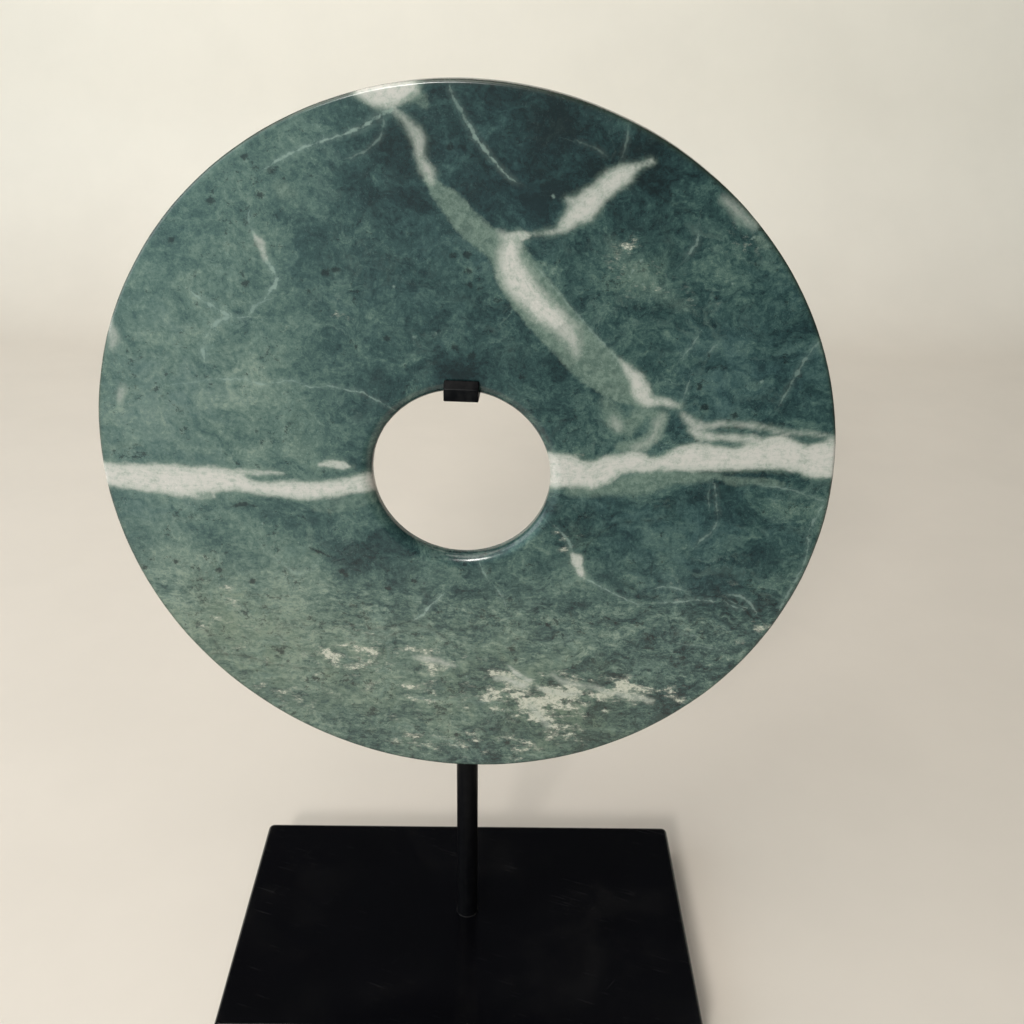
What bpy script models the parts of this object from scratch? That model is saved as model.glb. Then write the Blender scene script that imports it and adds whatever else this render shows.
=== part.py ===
"""Polished green serpentine bi disc, hung by its hole on a black hook stand.

Metres, +Z up. The origin is the middle of the base's underside. The viewer
stands on the -Y side and sees the front of the disc, whose hole slips over a
flat hook. Behind the stone a round-bar ring, wider than the hole, carries the
hook, and a straight round rod carries the ring and is let into the base. The
disc, ring, hook and rod are turned together by a few degrees on the base, and
the stone hangs a little in front of the base's middle.
"""

from math import cos, pi, radians, sin, sqrt

import bmesh
import bpy
from mathutils import Matrix, Vector

# Gaps. CONTACT_GAP lies between pieces that touch in the real object.
CONTACT_GAP = 0.0003

# Stone disc
DISC_DIAMETER = 0.290
DISC_THICKNESS = 0.0080
RIM_ROUNDING = 0.0013
HOLE_DIAMETER = 0.0710
HOLE_SIDE_SHIFT = -0.0006
HOLE_DROP = 0.0021
HOLE_FRONT_ROUNDING = 0.0040
HOLE_BACK_ROUNDING = 0.0024
DISC_HEIGHT_OVER_BASE = 0.1018
DISC_TURN_DEGREES = -3.4
DISC_FORWARD_STEP = 0.0050

# Base plate
BASE_WIDTH = 0.2205
BASE_DEPTH = 0.131
BASE_HEIGHT = 0.020
BASE_CORNER_RADIUS = 0.0030
BASE_TOP_ROUNDING = 0.0020
BASE_BOTTOM_ROUNDING = 0.0008

# Rod
ROD_DIAMETER = 0.0100
ROD_SIDE_STEP = 0.0009
ROD_SOCKET_DEPTH = 0.0120
ROD_END_CHAMFER = 0.0005

# Ring behind the disc
RING_BAR_DIAMETER = 0.0050
RING_MARGIN_BEYOND_HOLE = 0.0120

# Hook: a flat strip through the hole, bent up in front and behind
HOOK_WIDTH = 0.0134
HOOK_STRIP_THICKNESS = 0.0016
HOOK_LIP_THICKNESS = 0.0030
HOOK_LIP_RISE = 0.0061
HOOK_LIP_BEVEL_HEIGHT = 0.0028
HOOK_LIP_BEVEL_DEPTH = 0.0022
HOOK_BACK_OVERLAP = 0.0040
HOOK_EDGE_ROUNDING = 0.0004

# Smoothness of the round forms
DISC_SEGMENTS = 128
RIM_ARC_STEPS = 4
HOLE_FRONT_ARC_STEPS = 7
HOLE_BACK_ARC_STEPS = 5
RING_SEGMENTS = 56
BAR_SEGMENTS = 12
ROD_SEGMENTS = 32
CORNER_STEPS = 4
EDGE_STEPS = 3
SMOOTH_ANGLE = radians(35.0)

# Heights and depths that follow from the sizes above
DISC_RADIUS = DISC_DIAMETER / 2
HOLE_RADIUS = HOLE_DIAMETER / 2
ROD_RADIUS = ROD_DIAMETER / 2
BAR_RADIUS = RING_BAR_DIAMETER / 2
DISC_CENTRE_HEIGHT = BASE_HEIGHT + DISC_HEIGHT_OVER_BASE + DISC_RADIUS
FRONT_FACE = -DISC_THICKNESS / 2
BACK_FACE = DISC_THICKNESS / 2
ROD_AXIS_DEPTH = BACK_FACE + CONTACT_GAP + ROD_RADIUS
RING_RADIUS = HOLE_RADIUS + RING_MARGIN_BEYOND_HOLE + BAR_RADIUS
RING_TOP = -HOLE_DROP + RING_RADIUS
RING_BOTTOM = -HOLE_DROP - RING_RADIUS - BAR_RADIUS


def clear_scene():
    """Remove whatever the scene holds."""
    for existing in list(bpy.data.objects):
        bpy.data.objects.remove(existing, do_unlink=True)


def make_material(name, colour, roughness, metallic=0.0):
    """Return a Principled material with plain values."""
    material = bpy.data.materials.new(name)
    material.use_nodes = True
    shader = material.node_tree.nodes["Principled BSDF"]
    shader.inputs["Base Color"].default_value = (*colour, 1.0)
    shader.inputs["Roughness"].default_value = roughness
    shader.inputs["Metallic"].default_value = metallic
    material.diffuse_color = (*colour, 1.0)
    return material


def add_object(name, mesh_builder, material, parent=None):
    """Turn a finished bmesh into a named, smooth-shaded object."""
    bmesh.ops.recalc_face_normals(mesh_builder, faces=mesh_builder.faces[:])
    mesh = bpy.data.meshes.new(name)
    mesh_builder.to_mesh(mesh)
    mesh_builder.free()
    mesh.shade_smooth()
    mesh.set_sharp_from_angle(angle=SMOOTH_ANGLE)
    mesh.materials.append(material)
    made = bpy.data.objects.new(name, mesh)
    bpy.context.scene.collection.objects.link(made)
    made.parent = parent
    return made


def arc(centre, radius, start, end, steps):
    """Points of a circular arc in a plane, both ends included."""
    points = []
    for step in range(steps + 1):
        angle = start + (end - start) * step / steps
        points.append((centre[0] + radius * cos(angle), centre[1] + radius * sin(angle)))
    return points


def loft(mesh_builder, loops, closed):
    """Join loops of equally many vertices with quads, round to the first if closed."""
    count = len(loops[0])
    pairs = list(zip(loops, loops[1:]))
    if closed:
        pairs.append((loops[-1], loops[0]))
    for lower, upper in pairs:
        for index in range(count):
            following = (index + 1) % count
            corners = (lower[index], lower[following], upper[following], upper[index])
            mesh_builder.faces.new(corners)


def stone_profile():
    """Section of the disc: (radius, depth, belongs to the hole), once round."""
    rim = arc((DISC_RADIUS - RIM_ROUNDING, FRONT_FACE + RIM_ROUNDING), RIM_ROUNDING,
              -pi / 2, 0.0, RIM_ARC_STEPS)
    rim += arc((DISC_RADIUS - RIM_ROUNDING, BACK_FACE - RIM_ROUNDING), RIM_ROUNDING,
               0.0, pi / 2, RIM_ARC_STEPS)
    hole = arc((HOLE_RADIUS + HOLE_BACK_ROUNDING, BACK_FACE - HOLE_BACK_ROUNDING),
               HOLE_BACK_ROUNDING, pi / 2, pi, HOLE_BACK_ARC_STEPS)
    hole += arc((HOLE_RADIUS + HOLE_FRONT_ROUNDING, FRONT_FACE + HOLE_FRONT_ROUNDING),
                HOLE_FRONT_ROUNDING, pi, 3 * pi / 2, HOLE_FRONT_ARC_STEPS)
    return [(*point, False) for point in rim] + [(*point, True) for point in hole]


def build_disc(material, parent):
    """The stone: flat faces, a fine rounded rim and a soft shoulder at the hole."""
    builder = bmesh.new()
    loops = []
    for radius, depth, in_hole in stone_profile():
        centre_x = HOLE_SIDE_SHIFT if in_hole else 0.0
        centre_z = -HOLE_DROP if in_hole else 0.0
        loop = []
        for index in range(DISC_SEGMENTS):
            angle = 2 * pi * index / DISC_SEGMENTS
            x = centre_x + radius * cos(angle)
            z = centre_z + radius * sin(angle)
            loop.append(builder.verts.new((x, depth, z)))
        loops.append(loop)
    loft(builder, loops, closed=True)
    return add_object("jade_disc", builder, material, parent)


def build_ring(material, parent):
    """Round bar bent to a full ring, level with the hole and hidden behind the stone."""
    builder = bmesh.new()
    loops = []
    for index in range(RING_SEGMENTS):
        around = 2 * pi * index / RING_SEGMENTS
        loop = []
        for step in range(BAR_SEGMENTS):
            angle = 2 * pi * step / BAR_SEGMENTS
            radius = RING_RADIUS + BAR_RADIUS * cos(angle)
            x = radius * cos(around)
            z = -HOLE_DROP + radius * sin(around)
            loop.append(builder.verts.new((x, ROD_AXIS_DEPTH + BAR_RADIUS * sin(angle), z)))
        loops.append(loop)
    loft(builder, loops, closed=True)
    return add_object("bracket_ring", builder, material, parent)


def build_rod(material, parent):
    """Straight round rod from the base's socket to the underside of the ring."""
    bottom = BASE_HEIGHT - ROD_SOCKET_DEPTH + CONTACT_GAP - DISC_CENTRE_HEIGHT
    top = RING_BOTTOM - CONTACT_GAP
    builder = bmesh.new()
    levels = (
        (ROD_RADIUS - ROD_END_CHAMFER, bottom),
        (ROD_RADIUS, bottom + ROD_END_CHAMFER),
        (ROD_RADIUS, top - ROD_END_CHAMFER),
        (ROD_RADIUS - ROD_END_CHAMFER, top),
    )
    loops = []
    for radius, height in levels:
        loop = []
        for index in range(ROD_SEGMENTS):
            angle = 2 * pi * index / ROD_SEGMENTS
            x = ROD_SIDE_STEP + radius * cos(angle)
            y = ROD_AXIS_DEPTH + radius * sin(angle)
            loop.append(builder.verts.new((x, y, height)))
        loops.append(loop)
    loft(builder, loops, closed=False)
    builder.faces.new(loops[0])
    builder.faces.new(loops[-1])
    return add_object("rod", builder, material, parent)


def hook_outline():
    """Side view of the hook as (depth, height) points, from the lip round to the back."""
    half_chord = HOOK_WIDTH / 2 + abs(HOLE_SIDE_SHIFT)
    seat = -HOLE_DROP + sqrt(HOLE_RADIUS ** 2 - half_chord ** 2) - CONTACT_GAP
    underside = seat - HOOK_STRIP_THICKNESS
    lip_back = FRONT_FACE - CONTACT_GAP
    lip_front = lip_back - HOOK_LIP_THICKNESS
    lip_top = seat + HOOK_LIP_RISE
    upright_back = ROD_AXIS_DEPTH - BAR_RADIUS - CONTACT_GAP
    upright_front = upright_back - HOOK_STRIP_THICKNESS
    upright_top = RING_TOP + HOOK_BACK_OVERLAP
    return [
        (lip_front, underside),
        (lip_front, lip_top - HOOK_LIP_BEVEL_HEIGHT),
        (lip_front + HOOK_LIP_BEVEL_DEPTH, lip_top),
        (lip_back, lip_top),
        (lip_back, seat),
        (upright_front, seat),
        (upright_front, upright_top),
        (upright_back, upright_top),
        (upright_back, underside),
    ]


def build_hook(material, parent):
    """Flat strip with an upturned, bevelled lip in front and an upright tail behind."""
    builder = bmesh.new()
    sides = []
    for side in (-HOOK_WIDTH / 2, HOOK_WIDTH / 2):
        sides.append([builder.verts.new((side, depth, z)) for depth, z in hook_outline()])
    loft(builder, sides, closed=False)
    builder.faces.new(sides[0])
    builder.faces.new(sides[1])
    hook = add_object("hook", builder, material, parent)
    edges = hook.modifiers.new("rounded_edges", "BEVEL")
    edges.width = HOOK_EDGE_ROUNDING
    edges.segments = 2
    edges.limit_method = "ANGLE"
    edges.angle_limit = SMOOTH_ANGLE
    return hook


def rounded_slab(width, depth, levels):
    """Closed slab with rounded corners; levels holds (inset, height) pairs, bottom first."""
    builder = bmesh.new()
    loops = []
    for inset, height in levels:
        radius = BASE_CORNER_RADIUS - min(inset, BASE_CORNER_RADIUS / 2)
        reach_x = width / 2 - inset - radius
        reach_y = depth / 2 - inset - radius
        loop = []
        for quarter, (sign_x, sign_y) in enumerate(((1, 1), (-1, 1), (-1, -1), (1, -1))):
            centre = (sign_x * reach_x, sign_y * reach_y)
            start = quarter * pi / 2
            for x, y in arc(centre, radius, start, start + pi / 2, CORNER_STEPS):
                loop.append(builder.verts.new((x, y, height)))
        loops.append(loop)
    loft(builder, loops, closed=False)
    builder.faces.new(loops[0])
    builder.faces.new(loops[-1])
    return builder


def base_levels():
    """Inset and height of each outline of the base, from the underside to the top."""
    lower = arc((BASE_BOTTOM_ROUNDING, BASE_BOTTOM_ROUNDING), BASE_BOTTOM_ROUNDING,
                3 * pi / 2, pi, EDGE_STEPS)
    upper = arc((BASE_TOP_ROUNDING, BASE_HEIGHT - BASE_TOP_ROUNDING), BASE_TOP_ROUNDING,
                pi, pi / 2, EDGE_STEPS)
    return lower + upper


def build_base(material, rod_place):
    """Black plate with softened edges and a blind socket for the rod."""
    builder = rounded_slab(BASE_WIDTH, BASE_DEPTH, base_levels())
    base = add_object("base", builder, material)

    socket = bmesh.new()
    socket_depth = ROD_SOCKET_DEPTH + CONTACT_GAP
    height = 2 * socket_depth
    bmesh.ops.create_cone(
        socket, cap_ends=True, segments=ROD_SEGMENTS,
        radius1=ROD_RADIUS + CONTACT_GAP, radius2=ROD_RADIUS + CONTACT_GAP, depth=height,
        matrix=Matrix.Translation((rod_place.x, rod_place.y, BASE_HEIGHT)),
    )
    cutter = add_object("socket_cutter", socket, material)
    cutter.hide_render = True
    cutter.display_type = "WIRE"

    cut = base.modifiers.new("rod_socket", "BOOLEAN")
    cut.operation = "DIFFERENCE"
    cut.solver = "EXACT"
    cut.object = cutter
    return base


def turned_place():
    """Placement of the disc's centre: a step forward of the base's middle, and turned."""
    step = Matrix.Translation((0.0, -DISC_FORWARD_STEP, DISC_CENTRE_HEIGHT))
    return step @ Matrix.Rotation(radians(DISC_TURN_DEGREES), 4, "Z")


def build_turned_frame():
    """Empty at the disc's centre that carries the disc, the ring, the hook and the rod."""
    frame = bpy.data.objects.new("turned_frame", None)
    frame.matrix_world = turned_place()
    bpy.context.scene.collection.objects.link(frame)
    return frame


def main():
    """Build every piece of the object."""
    clear_scene()
    serpentine = make_material("polished_serpentine", (0.075, 0.125, 0.105), 0.22)
    lacquer = make_material("black_lacquer", (0.008, 0.008, 0.010), 0.12)
    enamel = make_material("black_enamel", (0.010, 0.010, 0.012), 0.25)

    frame = build_turned_frame()
    build_disc(serpentine, frame)
    build_ring(enamel, frame)
    build_hook(enamel, frame)
    build_rod(enamel, frame)
    build_base(lacquer, turned_place() @ Vector((ROD_SIDE_STEP, ROD_AXIS_DEPTH, 0.0)))


main()
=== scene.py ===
"""Polished green stone disc with a round hole, hung on a black hook stand.

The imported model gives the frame. Each sub-assembly below is a class that holds
its sizes in metres and builds its own smooth meshes in the same places as the
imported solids. The stone's markings are bands and lines drawn in millimetres on
the disc's own plane and measured into the mesh, where the material reads them.
"""

import logging
from dataclasses import dataclass, field
from enum import Enum
from math import cos, pi, radians, sin, sqrt

import bmesh
import bpy
import numpy as np
from bpy.types import Material, Mesh, Node, NodeSocket, NodeTree, Object
from mathutils import Matrix, Vector
from mathutils import noise as solid_noise

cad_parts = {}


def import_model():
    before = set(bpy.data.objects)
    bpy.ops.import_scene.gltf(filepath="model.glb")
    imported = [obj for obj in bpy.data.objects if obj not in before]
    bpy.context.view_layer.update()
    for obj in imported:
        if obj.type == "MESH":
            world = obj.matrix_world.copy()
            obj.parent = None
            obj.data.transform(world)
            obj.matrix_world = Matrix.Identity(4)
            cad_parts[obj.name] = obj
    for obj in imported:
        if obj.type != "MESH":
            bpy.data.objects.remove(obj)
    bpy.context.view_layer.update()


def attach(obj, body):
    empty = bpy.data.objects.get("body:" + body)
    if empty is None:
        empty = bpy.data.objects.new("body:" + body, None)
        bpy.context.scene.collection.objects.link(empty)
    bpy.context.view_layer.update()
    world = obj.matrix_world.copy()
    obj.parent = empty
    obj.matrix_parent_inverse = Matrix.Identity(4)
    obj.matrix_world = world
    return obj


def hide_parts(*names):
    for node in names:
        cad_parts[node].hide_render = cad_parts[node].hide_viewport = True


log = logging.getLogger("disc_on_stand")

Pair = tuple[float, float]
Triple = tuple[float, float, float]

MM_PER_M = 1000.0

# Where the pieces stand, and what the disc and the stand share, in metres.
# The gap parts the pieces that touch each other.
GAP = 0.0003
BASE_TOP = 0.0200
DISC_CENTRE = (0.0, -0.0050, 0.2668)
DISC_TURN = radians(-3.4)
DISC_PLACE = Matrix.Translation(DISC_CENTRE) @ Matrix.Rotation(DISC_TURN, 4, "Z")
DISC_THICKNESS = 0.0080
HOLE_RADIUS = 0.0355
HOLE_SHIFT = (-0.0006, -0.0021)


class Slot(Enum):
    """Material slots of the record."""

    STONE = "stone"
    LACQUER = "base_lacquer"
    ENAMEL = "black_enamel"


# Node helpers


class Bench:
    """Places nodes in one node tree and wires them with short calls.

    What a method takes as an object is a plain value or another node's output.
    """

    def __init__(self, tree: NodeTree) -> None:
        """Work in the given node tree."""
        self.tree = tree

    def node(self, kind: str, inputs: dict | None = None, **settings: object) -> Node:
        """Add a node.

        Args:
            kind: Blender's node type name.
            inputs: values or output sockets by input name or index.
            settings: properties set on the node.

        Returns:
            The new node.
        """
        made = self.tree.nodes.new(kind)
        for name, value in settings.items():
            setattr(made, name, value)
        for name, value in (inputs or {}).items():
            self.feed(made.inputs[name], value)
        return made

    def feed(self, socket: NodeSocket, value: object) -> None:
        """Link a socket to an output, or set its plain value.

        Args:
            socket: the input to fill.
            value: an output socket or a value.
        """
        if isinstance(value, NodeSocket):
            self.tree.links.new(value, socket)
        elif isinstance(value, tuple) and len(value) == 3 and socket.type == "RGBA":
            socket.default_value = (*value, 1.0)
        else:
            socket.default_value = value

    def math(self, operation: str, a: object, b: object = 0.0, clamp: bool = False
             ) -> NodeSocket:
        """Return the output of a Math node."""
        made = self.node("ShaderNodeMath", {0: a, 1: b}, operation=operation, use_clamp=clamp)
        return made.outputs[0]

    def times(self, a: object, b: object) -> NodeSocket:
        """Return a times b."""
        return self.math("MULTIPLY", a, b)

    def plus(self, a: object, b: object) -> NodeSocket:
        """Return a plus b."""
        return self.math("ADD", a, b)

    def minus(self, a: object, b: object) -> NodeSocket:
        """Return a minus b."""
        return self.math("SUBTRACT", a, b)

    def most(self, a: object, b: object) -> NodeSocket:
        """Return the larger of a and b."""
        return self.math("MAXIMUM", a, b)

    def size(self, a: object) -> NodeSocket:
        """Return a number without its sign."""
        return self.math("ABSOLUTE", a)

    def centred(self, value: object, amount: object) -> NodeSocket:
        """Return a value around one half moved to around zero, times an amount."""
        return self.times(self.minus(value, 0.5), amount)

    def fade(self, value: object, low: float, high: float, start: object = 0.0,
             end: object = 1.0) -> NodeSocket:
        """Turn a value into a smooth step.

        Args:
            value: what is stepped.
            low: the value where the step begins.
            high: the value where it ends.
            start: the result at low.
            end: the result at high.

        Returns:
            The result.
        """
        made = self.node("ShaderNodeMapRange",
                         {"Value": value, "From Min": low, "From Max": high, "To Min": start,
                          "To Max": end}, interpolation_type="SMOOTHSTEP")
        return made.outputs["Result"]

    def blend(self, share: object, a: object, b: object) -> NodeSocket:
        """Return colour a blended towards colour b by share."""
        made = self.node("ShaderNodeMix", {0: share, 6: a, 7: b}, data_type="RGBA")
        return made.outputs[2]

    def vector(self, operation: str, a: object, b: object) -> NodeSocket:
        """Return the vector output of a Vector Math node."""
        return self.node("ShaderNodeVectorMath", {0: a, 1: b}, operation=operation).outputs[0]

    def scaled(self, vector: object, amount: object) -> NodeSocket:
        """Return a vector times one number."""
        made = self.node("ShaderNodeVectorMath", {0: vector, "Scale": amount}, operation="SCALE")
        return made.outputs["Vector"]

    def shrunk(self, vector: object, size: object) -> NodeSocket:
        """Return a vector divided by a size."""
        return self.scaled(vector, self.math("DIVIDE", 1.0, size))

    def noise(self, vector: object, scale: object, detail: float = 3.0, roughness: float = 0.55,
              distortion: object = 0.0) -> NodeSocket:
        """Draw a 3-D noise.

        Args:
            vector: where it is read.
            scale: how many of its clouds lie along one unit of the vector.
            detail: how many finer layers it has.
            roughness: how strong each finer layer is.
            distortion: how much it is swirled.

        Returns:
            Its value, around one half.
        """
        made = self.node("ShaderNodeTexNoise",
                         {"Vector": vector, "Scale": scale, "Detail": detail,
                          "Roughness": roughness, "Distortion": distortion})
        return made.outputs[0]

    def drawn_noise(self, vector: object, scales: Triple, detail: float, roughness: float,
                    distortion: float = 0.0) -> NodeSocket:
        """Return a noise that has a scale of its own along each axis."""
        place = self.vector("MULTIPLY", vector, scales)
        return self.noise(place, 1.0, detail, roughness, distortion)

    def read(self, name: str, output: str = "Vector") -> NodeSocket:
        """Return an output of the Attribute node for a mesh attribute."""
        return self.node("ShaderNodeAttribute", attribute_name=name).outputs[output]

    def parts(self, vector: object) -> tuple[NodeSocket, ...]:
        """Return the three numbers of a vector."""
        return tuple(self.node("ShaderNodeSeparateXYZ", {0: vector}).outputs)


class EffectBench(Bench):
    """A shader node group in the making, which puts out one value."""

    def __init__(self, name: str, **inputs: object) -> None:
        """Start the group with its named inputs.

        Args:
            name: the group's name.
            inputs: each input's default: three numbers for a vector, one for a value.
        """
        super().__init__(bpy.data.node_groups.new(name, "ShaderNodeTree"))
        for label, default in inputs.items():
            kind = "NodeSocketVector" if isinstance(default, tuple) else "NodeSocketFloat"
            socket = self.tree.interface.new_socket(label, in_out="INPUT", socket_type=kind)
            socket.default_value = default
        self.given = self.node("NodeGroupInput").outputs

    def close(self, output: str, value: NodeSocket) -> NodeTree:
        """Send a value out of the group.

        Args:
            output: name of the group's output.
            value: what is put out.

        Returns:
            The finished group.
        """
        self.tree.interface.new_socket(output, in_out="OUTPUT", socket_type="NodeSocketFloat")
        self.feed(self.node("NodeGroupOutput").inputs[0], value)
        return self.tree


ORIGIN = (0, 0, 0)


@dataclass
class Effects:
    """The shared shader effects, each built once."""

    broken_edge: NodeTree = field(init=False)
    hair_line: NodeTree = field(init=False)
    mottle: NodeTree = field(init=False)
    flecks: NodeTree = field(init=False)
    rub_marks: NodeTree = field(init=False)
    edge_wear: NodeTree = field(init=False)

    def __post_init__(self) -> None:
        """Build every group."""
        self.broken_edge = self._broken_edge()
        self.hair_line = self._hair_line()
        self.mottle = self._mottle()
        self.flecks = self._flecks()
        self.rub_marks = self._rub_marks()
        self.edge_wear = self._edge_wear()

    @staticmethod
    def _broken_edge() -> NodeTree:
        """Turn a distance to a band's edge into a ragged mask.

        Returns:
            The group.
        """
        b = EffectBench("broken_edge", Distance=0.0, Vector=ORIGIN, Coarse=1.0, Fine=0.5,
                        Softness=0.4)
        place = b.given["Vector"]
        slow = b.centred(b.noise(place, 0.16, 2.0), 2.0)
        quick = b.centred(b.noise(place, 0.75, 4.0, 0.65), 2.0)
        moved = b.plus(b.given["Distance"], b.times(slow, b.given["Coarse"]))
        moved = b.plus(moved, b.times(quick, b.given["Fine"]))
        return b.close("Mask", b.fade(b.math("DIVIDE", moved, b.given["Softness"]), 1.0, -1.0))

    @staticmethod
    def _hair_line() -> NodeTree:
        """Draw a thin line from its signed distance, its plain one and its half width.

        Returns:
            The group.
        """
        b = EffectBench("hair_line", Line=(9, 9, 0), Vector=ORIGIN, Waver=0.6, Softness=0.35)
        side, reach, weight = b.parts(b.given["Line"])
        place = b.given["Vector"]
        shake = b.centred(b.noise(place, 0.45, 4.0, 0.6), 2.0)
        side = b.plus(side, b.times(shake, b.given["Waver"]))
        along = b.noise(place, 0.30, 3.0, 0.6)
        width = b.times(weight, b.fade(along, 0.3, 0.7, 0.10, 0.95))
        away = b.minus(b.size(side), width)
        line = b.fade(b.math("DIVIDE", away, b.given["Softness"]), 1.0, -0.8)
        near = b.fade(b.minus(reach, weight), 1.9, 0.9)
        drawn = b.times(b.fade(weight, 0.02, 0.3), b.fade(along, 0.30, 0.58, 0.30, 1.0))
        glow = b.fade(b.minus(b.size(side), weight), 1.8, -0.2, 0.0, 0.22)
        return b.close("Mask", b.times(b.most(b.times(line, near), glow), drawn))

    @staticmethod
    def _mottle() -> NodeTree:
        """Draw cloudy variation around zero, at a size in millimetres.

        Returns:
            The group.
        """
        b = EffectBench("mottle", Vector=ORIGIN, Size=10.0, Swirl=0.0, Amount=1.0)
        place = b.shrunk(b.given["Vector"], b.given["Size"])
        cloud = b.noise(place, 1.0, 4.0, 0.6, b.given["Swirl"])
        return b.close("Value", b.times(b.centred(cloud, 3.0), b.given["Amount"]))

    @staticmethod
    def _flecks() -> NodeTree:
        """Scatter small flecks, such as dust or dark grains.

        Returns:
            The group.
        """
        b = EffectBench("flecks", Vector=ORIGIN, Size=1.0, Share=0.2, Clusters=12.0)
        place = b.given["Vector"]
        grains = b.noise(b.shrunk(place, b.given["Size"]), 1.0, 2.5, 0.6)
        crowd = b.noise(b.shrunk(place, b.given["Clusters"]), 1.0, 2.0)
        level = b.minus(0.78, b.times(b.given["Share"], 0.4))
        level = b.minus(level, b.centred(crowd, 0.45))
        return b.close("Mask", b.fade(b.minus(grains, level), -0.03, 0.09))

    @staticmethod
    def _rub_marks() -> NodeTree:
        """Draw fine rubbed lines that run at an angle.

        Returns:
            The group.
        """
        b = EffectBench("rub_marks", Vector=ORIGIN, Angle=0.4, Share=0.3)
        place = b.given["Vector"]
        turned = b.node("ShaderNodeVectorRotate", {"Vector": place, "Angle": b.given["Angle"]},
                        rotation_type="Z_AXIS").outputs[0]
        lines = b.drawn_noise(turned, (0.035, 1.9, 1.0), 3.0, 0.6)
        level = b.minus(0.8, b.times(b.given["Share"], b.noise(place, 0.04, 2.0)))
        return b.close("Mask", b.fade(b.minus(lines, level), 0.0, 0.08))

    @staticmethod
    def _edge_wear() -> NodeTree:
        """Mark where edges are rubbed.

        Returns:
            The group.
        """
        b = EffectBench("edge_wear", Nearness=0.0, Vector=ORIGIN, Amount=0.5)
        rub = b.fade(b.noise(b.given["Vector"], 0.28, 5.0, 0.65), 0.38, 0.72)
        return b.close("Mask", b.times(b.times(b.given["Nearness"], rub), b.given["Amount"]))


class CoatBench(Bench):
    """The nodes of one material, and what every step of making it uses."""

    def __init__(self, name: str, effects: Effects | None = None) -> None:
        """Start the material.

        Args:
            name: the material's name.
            effects: the shared shader effects, if it uses any.
        """
        self.material = bpy.data.materials.new(name)
        self.material.use_nodes = True
        super().__init__(self.material.node_tree)
        self.shader = self.tree.nodes["Principled BSDF"]
        self.effects = effects
        self.place = ORIGIN

    def effect(self, name: str, **inputs: object) -> NodeSocket:
        """Return the output of a shared effect, read at the bench's place by default."""
        return self.node("ShaderNodeGroup", {"Vector": self.place, **inputs},
                         node_tree=getattr(self.effects, name)).outputs[0]


# The stone's markings


@dataclass(frozen=True)
class Stroke:
    """A band or line on the disc's plane.

    Each point is (x, z, half width) in millimetres from the disc's centre. The
    force says how strongly it is drawn, and soft how wide its ragged edge is.
    """

    points: tuple[Triple, ...]
    force: float = 1.0
    soft: float = 0.8

    def path(self, step: float = 2.0, least_width: float = 0.05) -> np.ndarray:
        """Run a smooth line through the stroke.

        Args:
            step: about how far apart its points lie, in millimetres.
            least_width: the half width it keeps everywhere.

        Returns:
            Rows of (x, z, half width).
        """
        raw = np.array(self.points, float)
        if len(raw) < 3:
            return raw
        ends = np.vstack([2 * raw[0] - raw[1], raw, 2 * raw[-1] - raw[-2]])
        rows = []
        for a, p, q, d in zip(ends, ends[1:], ends[2:], ends[3:]):
            count = max(1, int(np.hypot(*(q - p)[:2]) / step))
            for share in np.arange(count) / count:
                s2, s3 = share ** 2, share ** 3
                rows.append(0.5 * (2 * p + (q - a) * share + (2 * a - 5 * p + 4 * q - d) * s2
                                   + (3 * p - a - 3 * q + d) * s3))
        rows.append(raw[-1])
        rows = np.array(rows)
        rows[:, 2] = np.clip(rows[:, 2], least_width, None)
        return rows


@dataclass(frozen=True)
class Patch:
    """A soft round area: place and radius in millimetres, and how much it adds.

    It can be stretched along a line that leans by an angle in radians.
    """

    x: float
    z: float
    radius: float
    amount: float
    stretch: float = 1.0
    lean: float = 0.0


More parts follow.
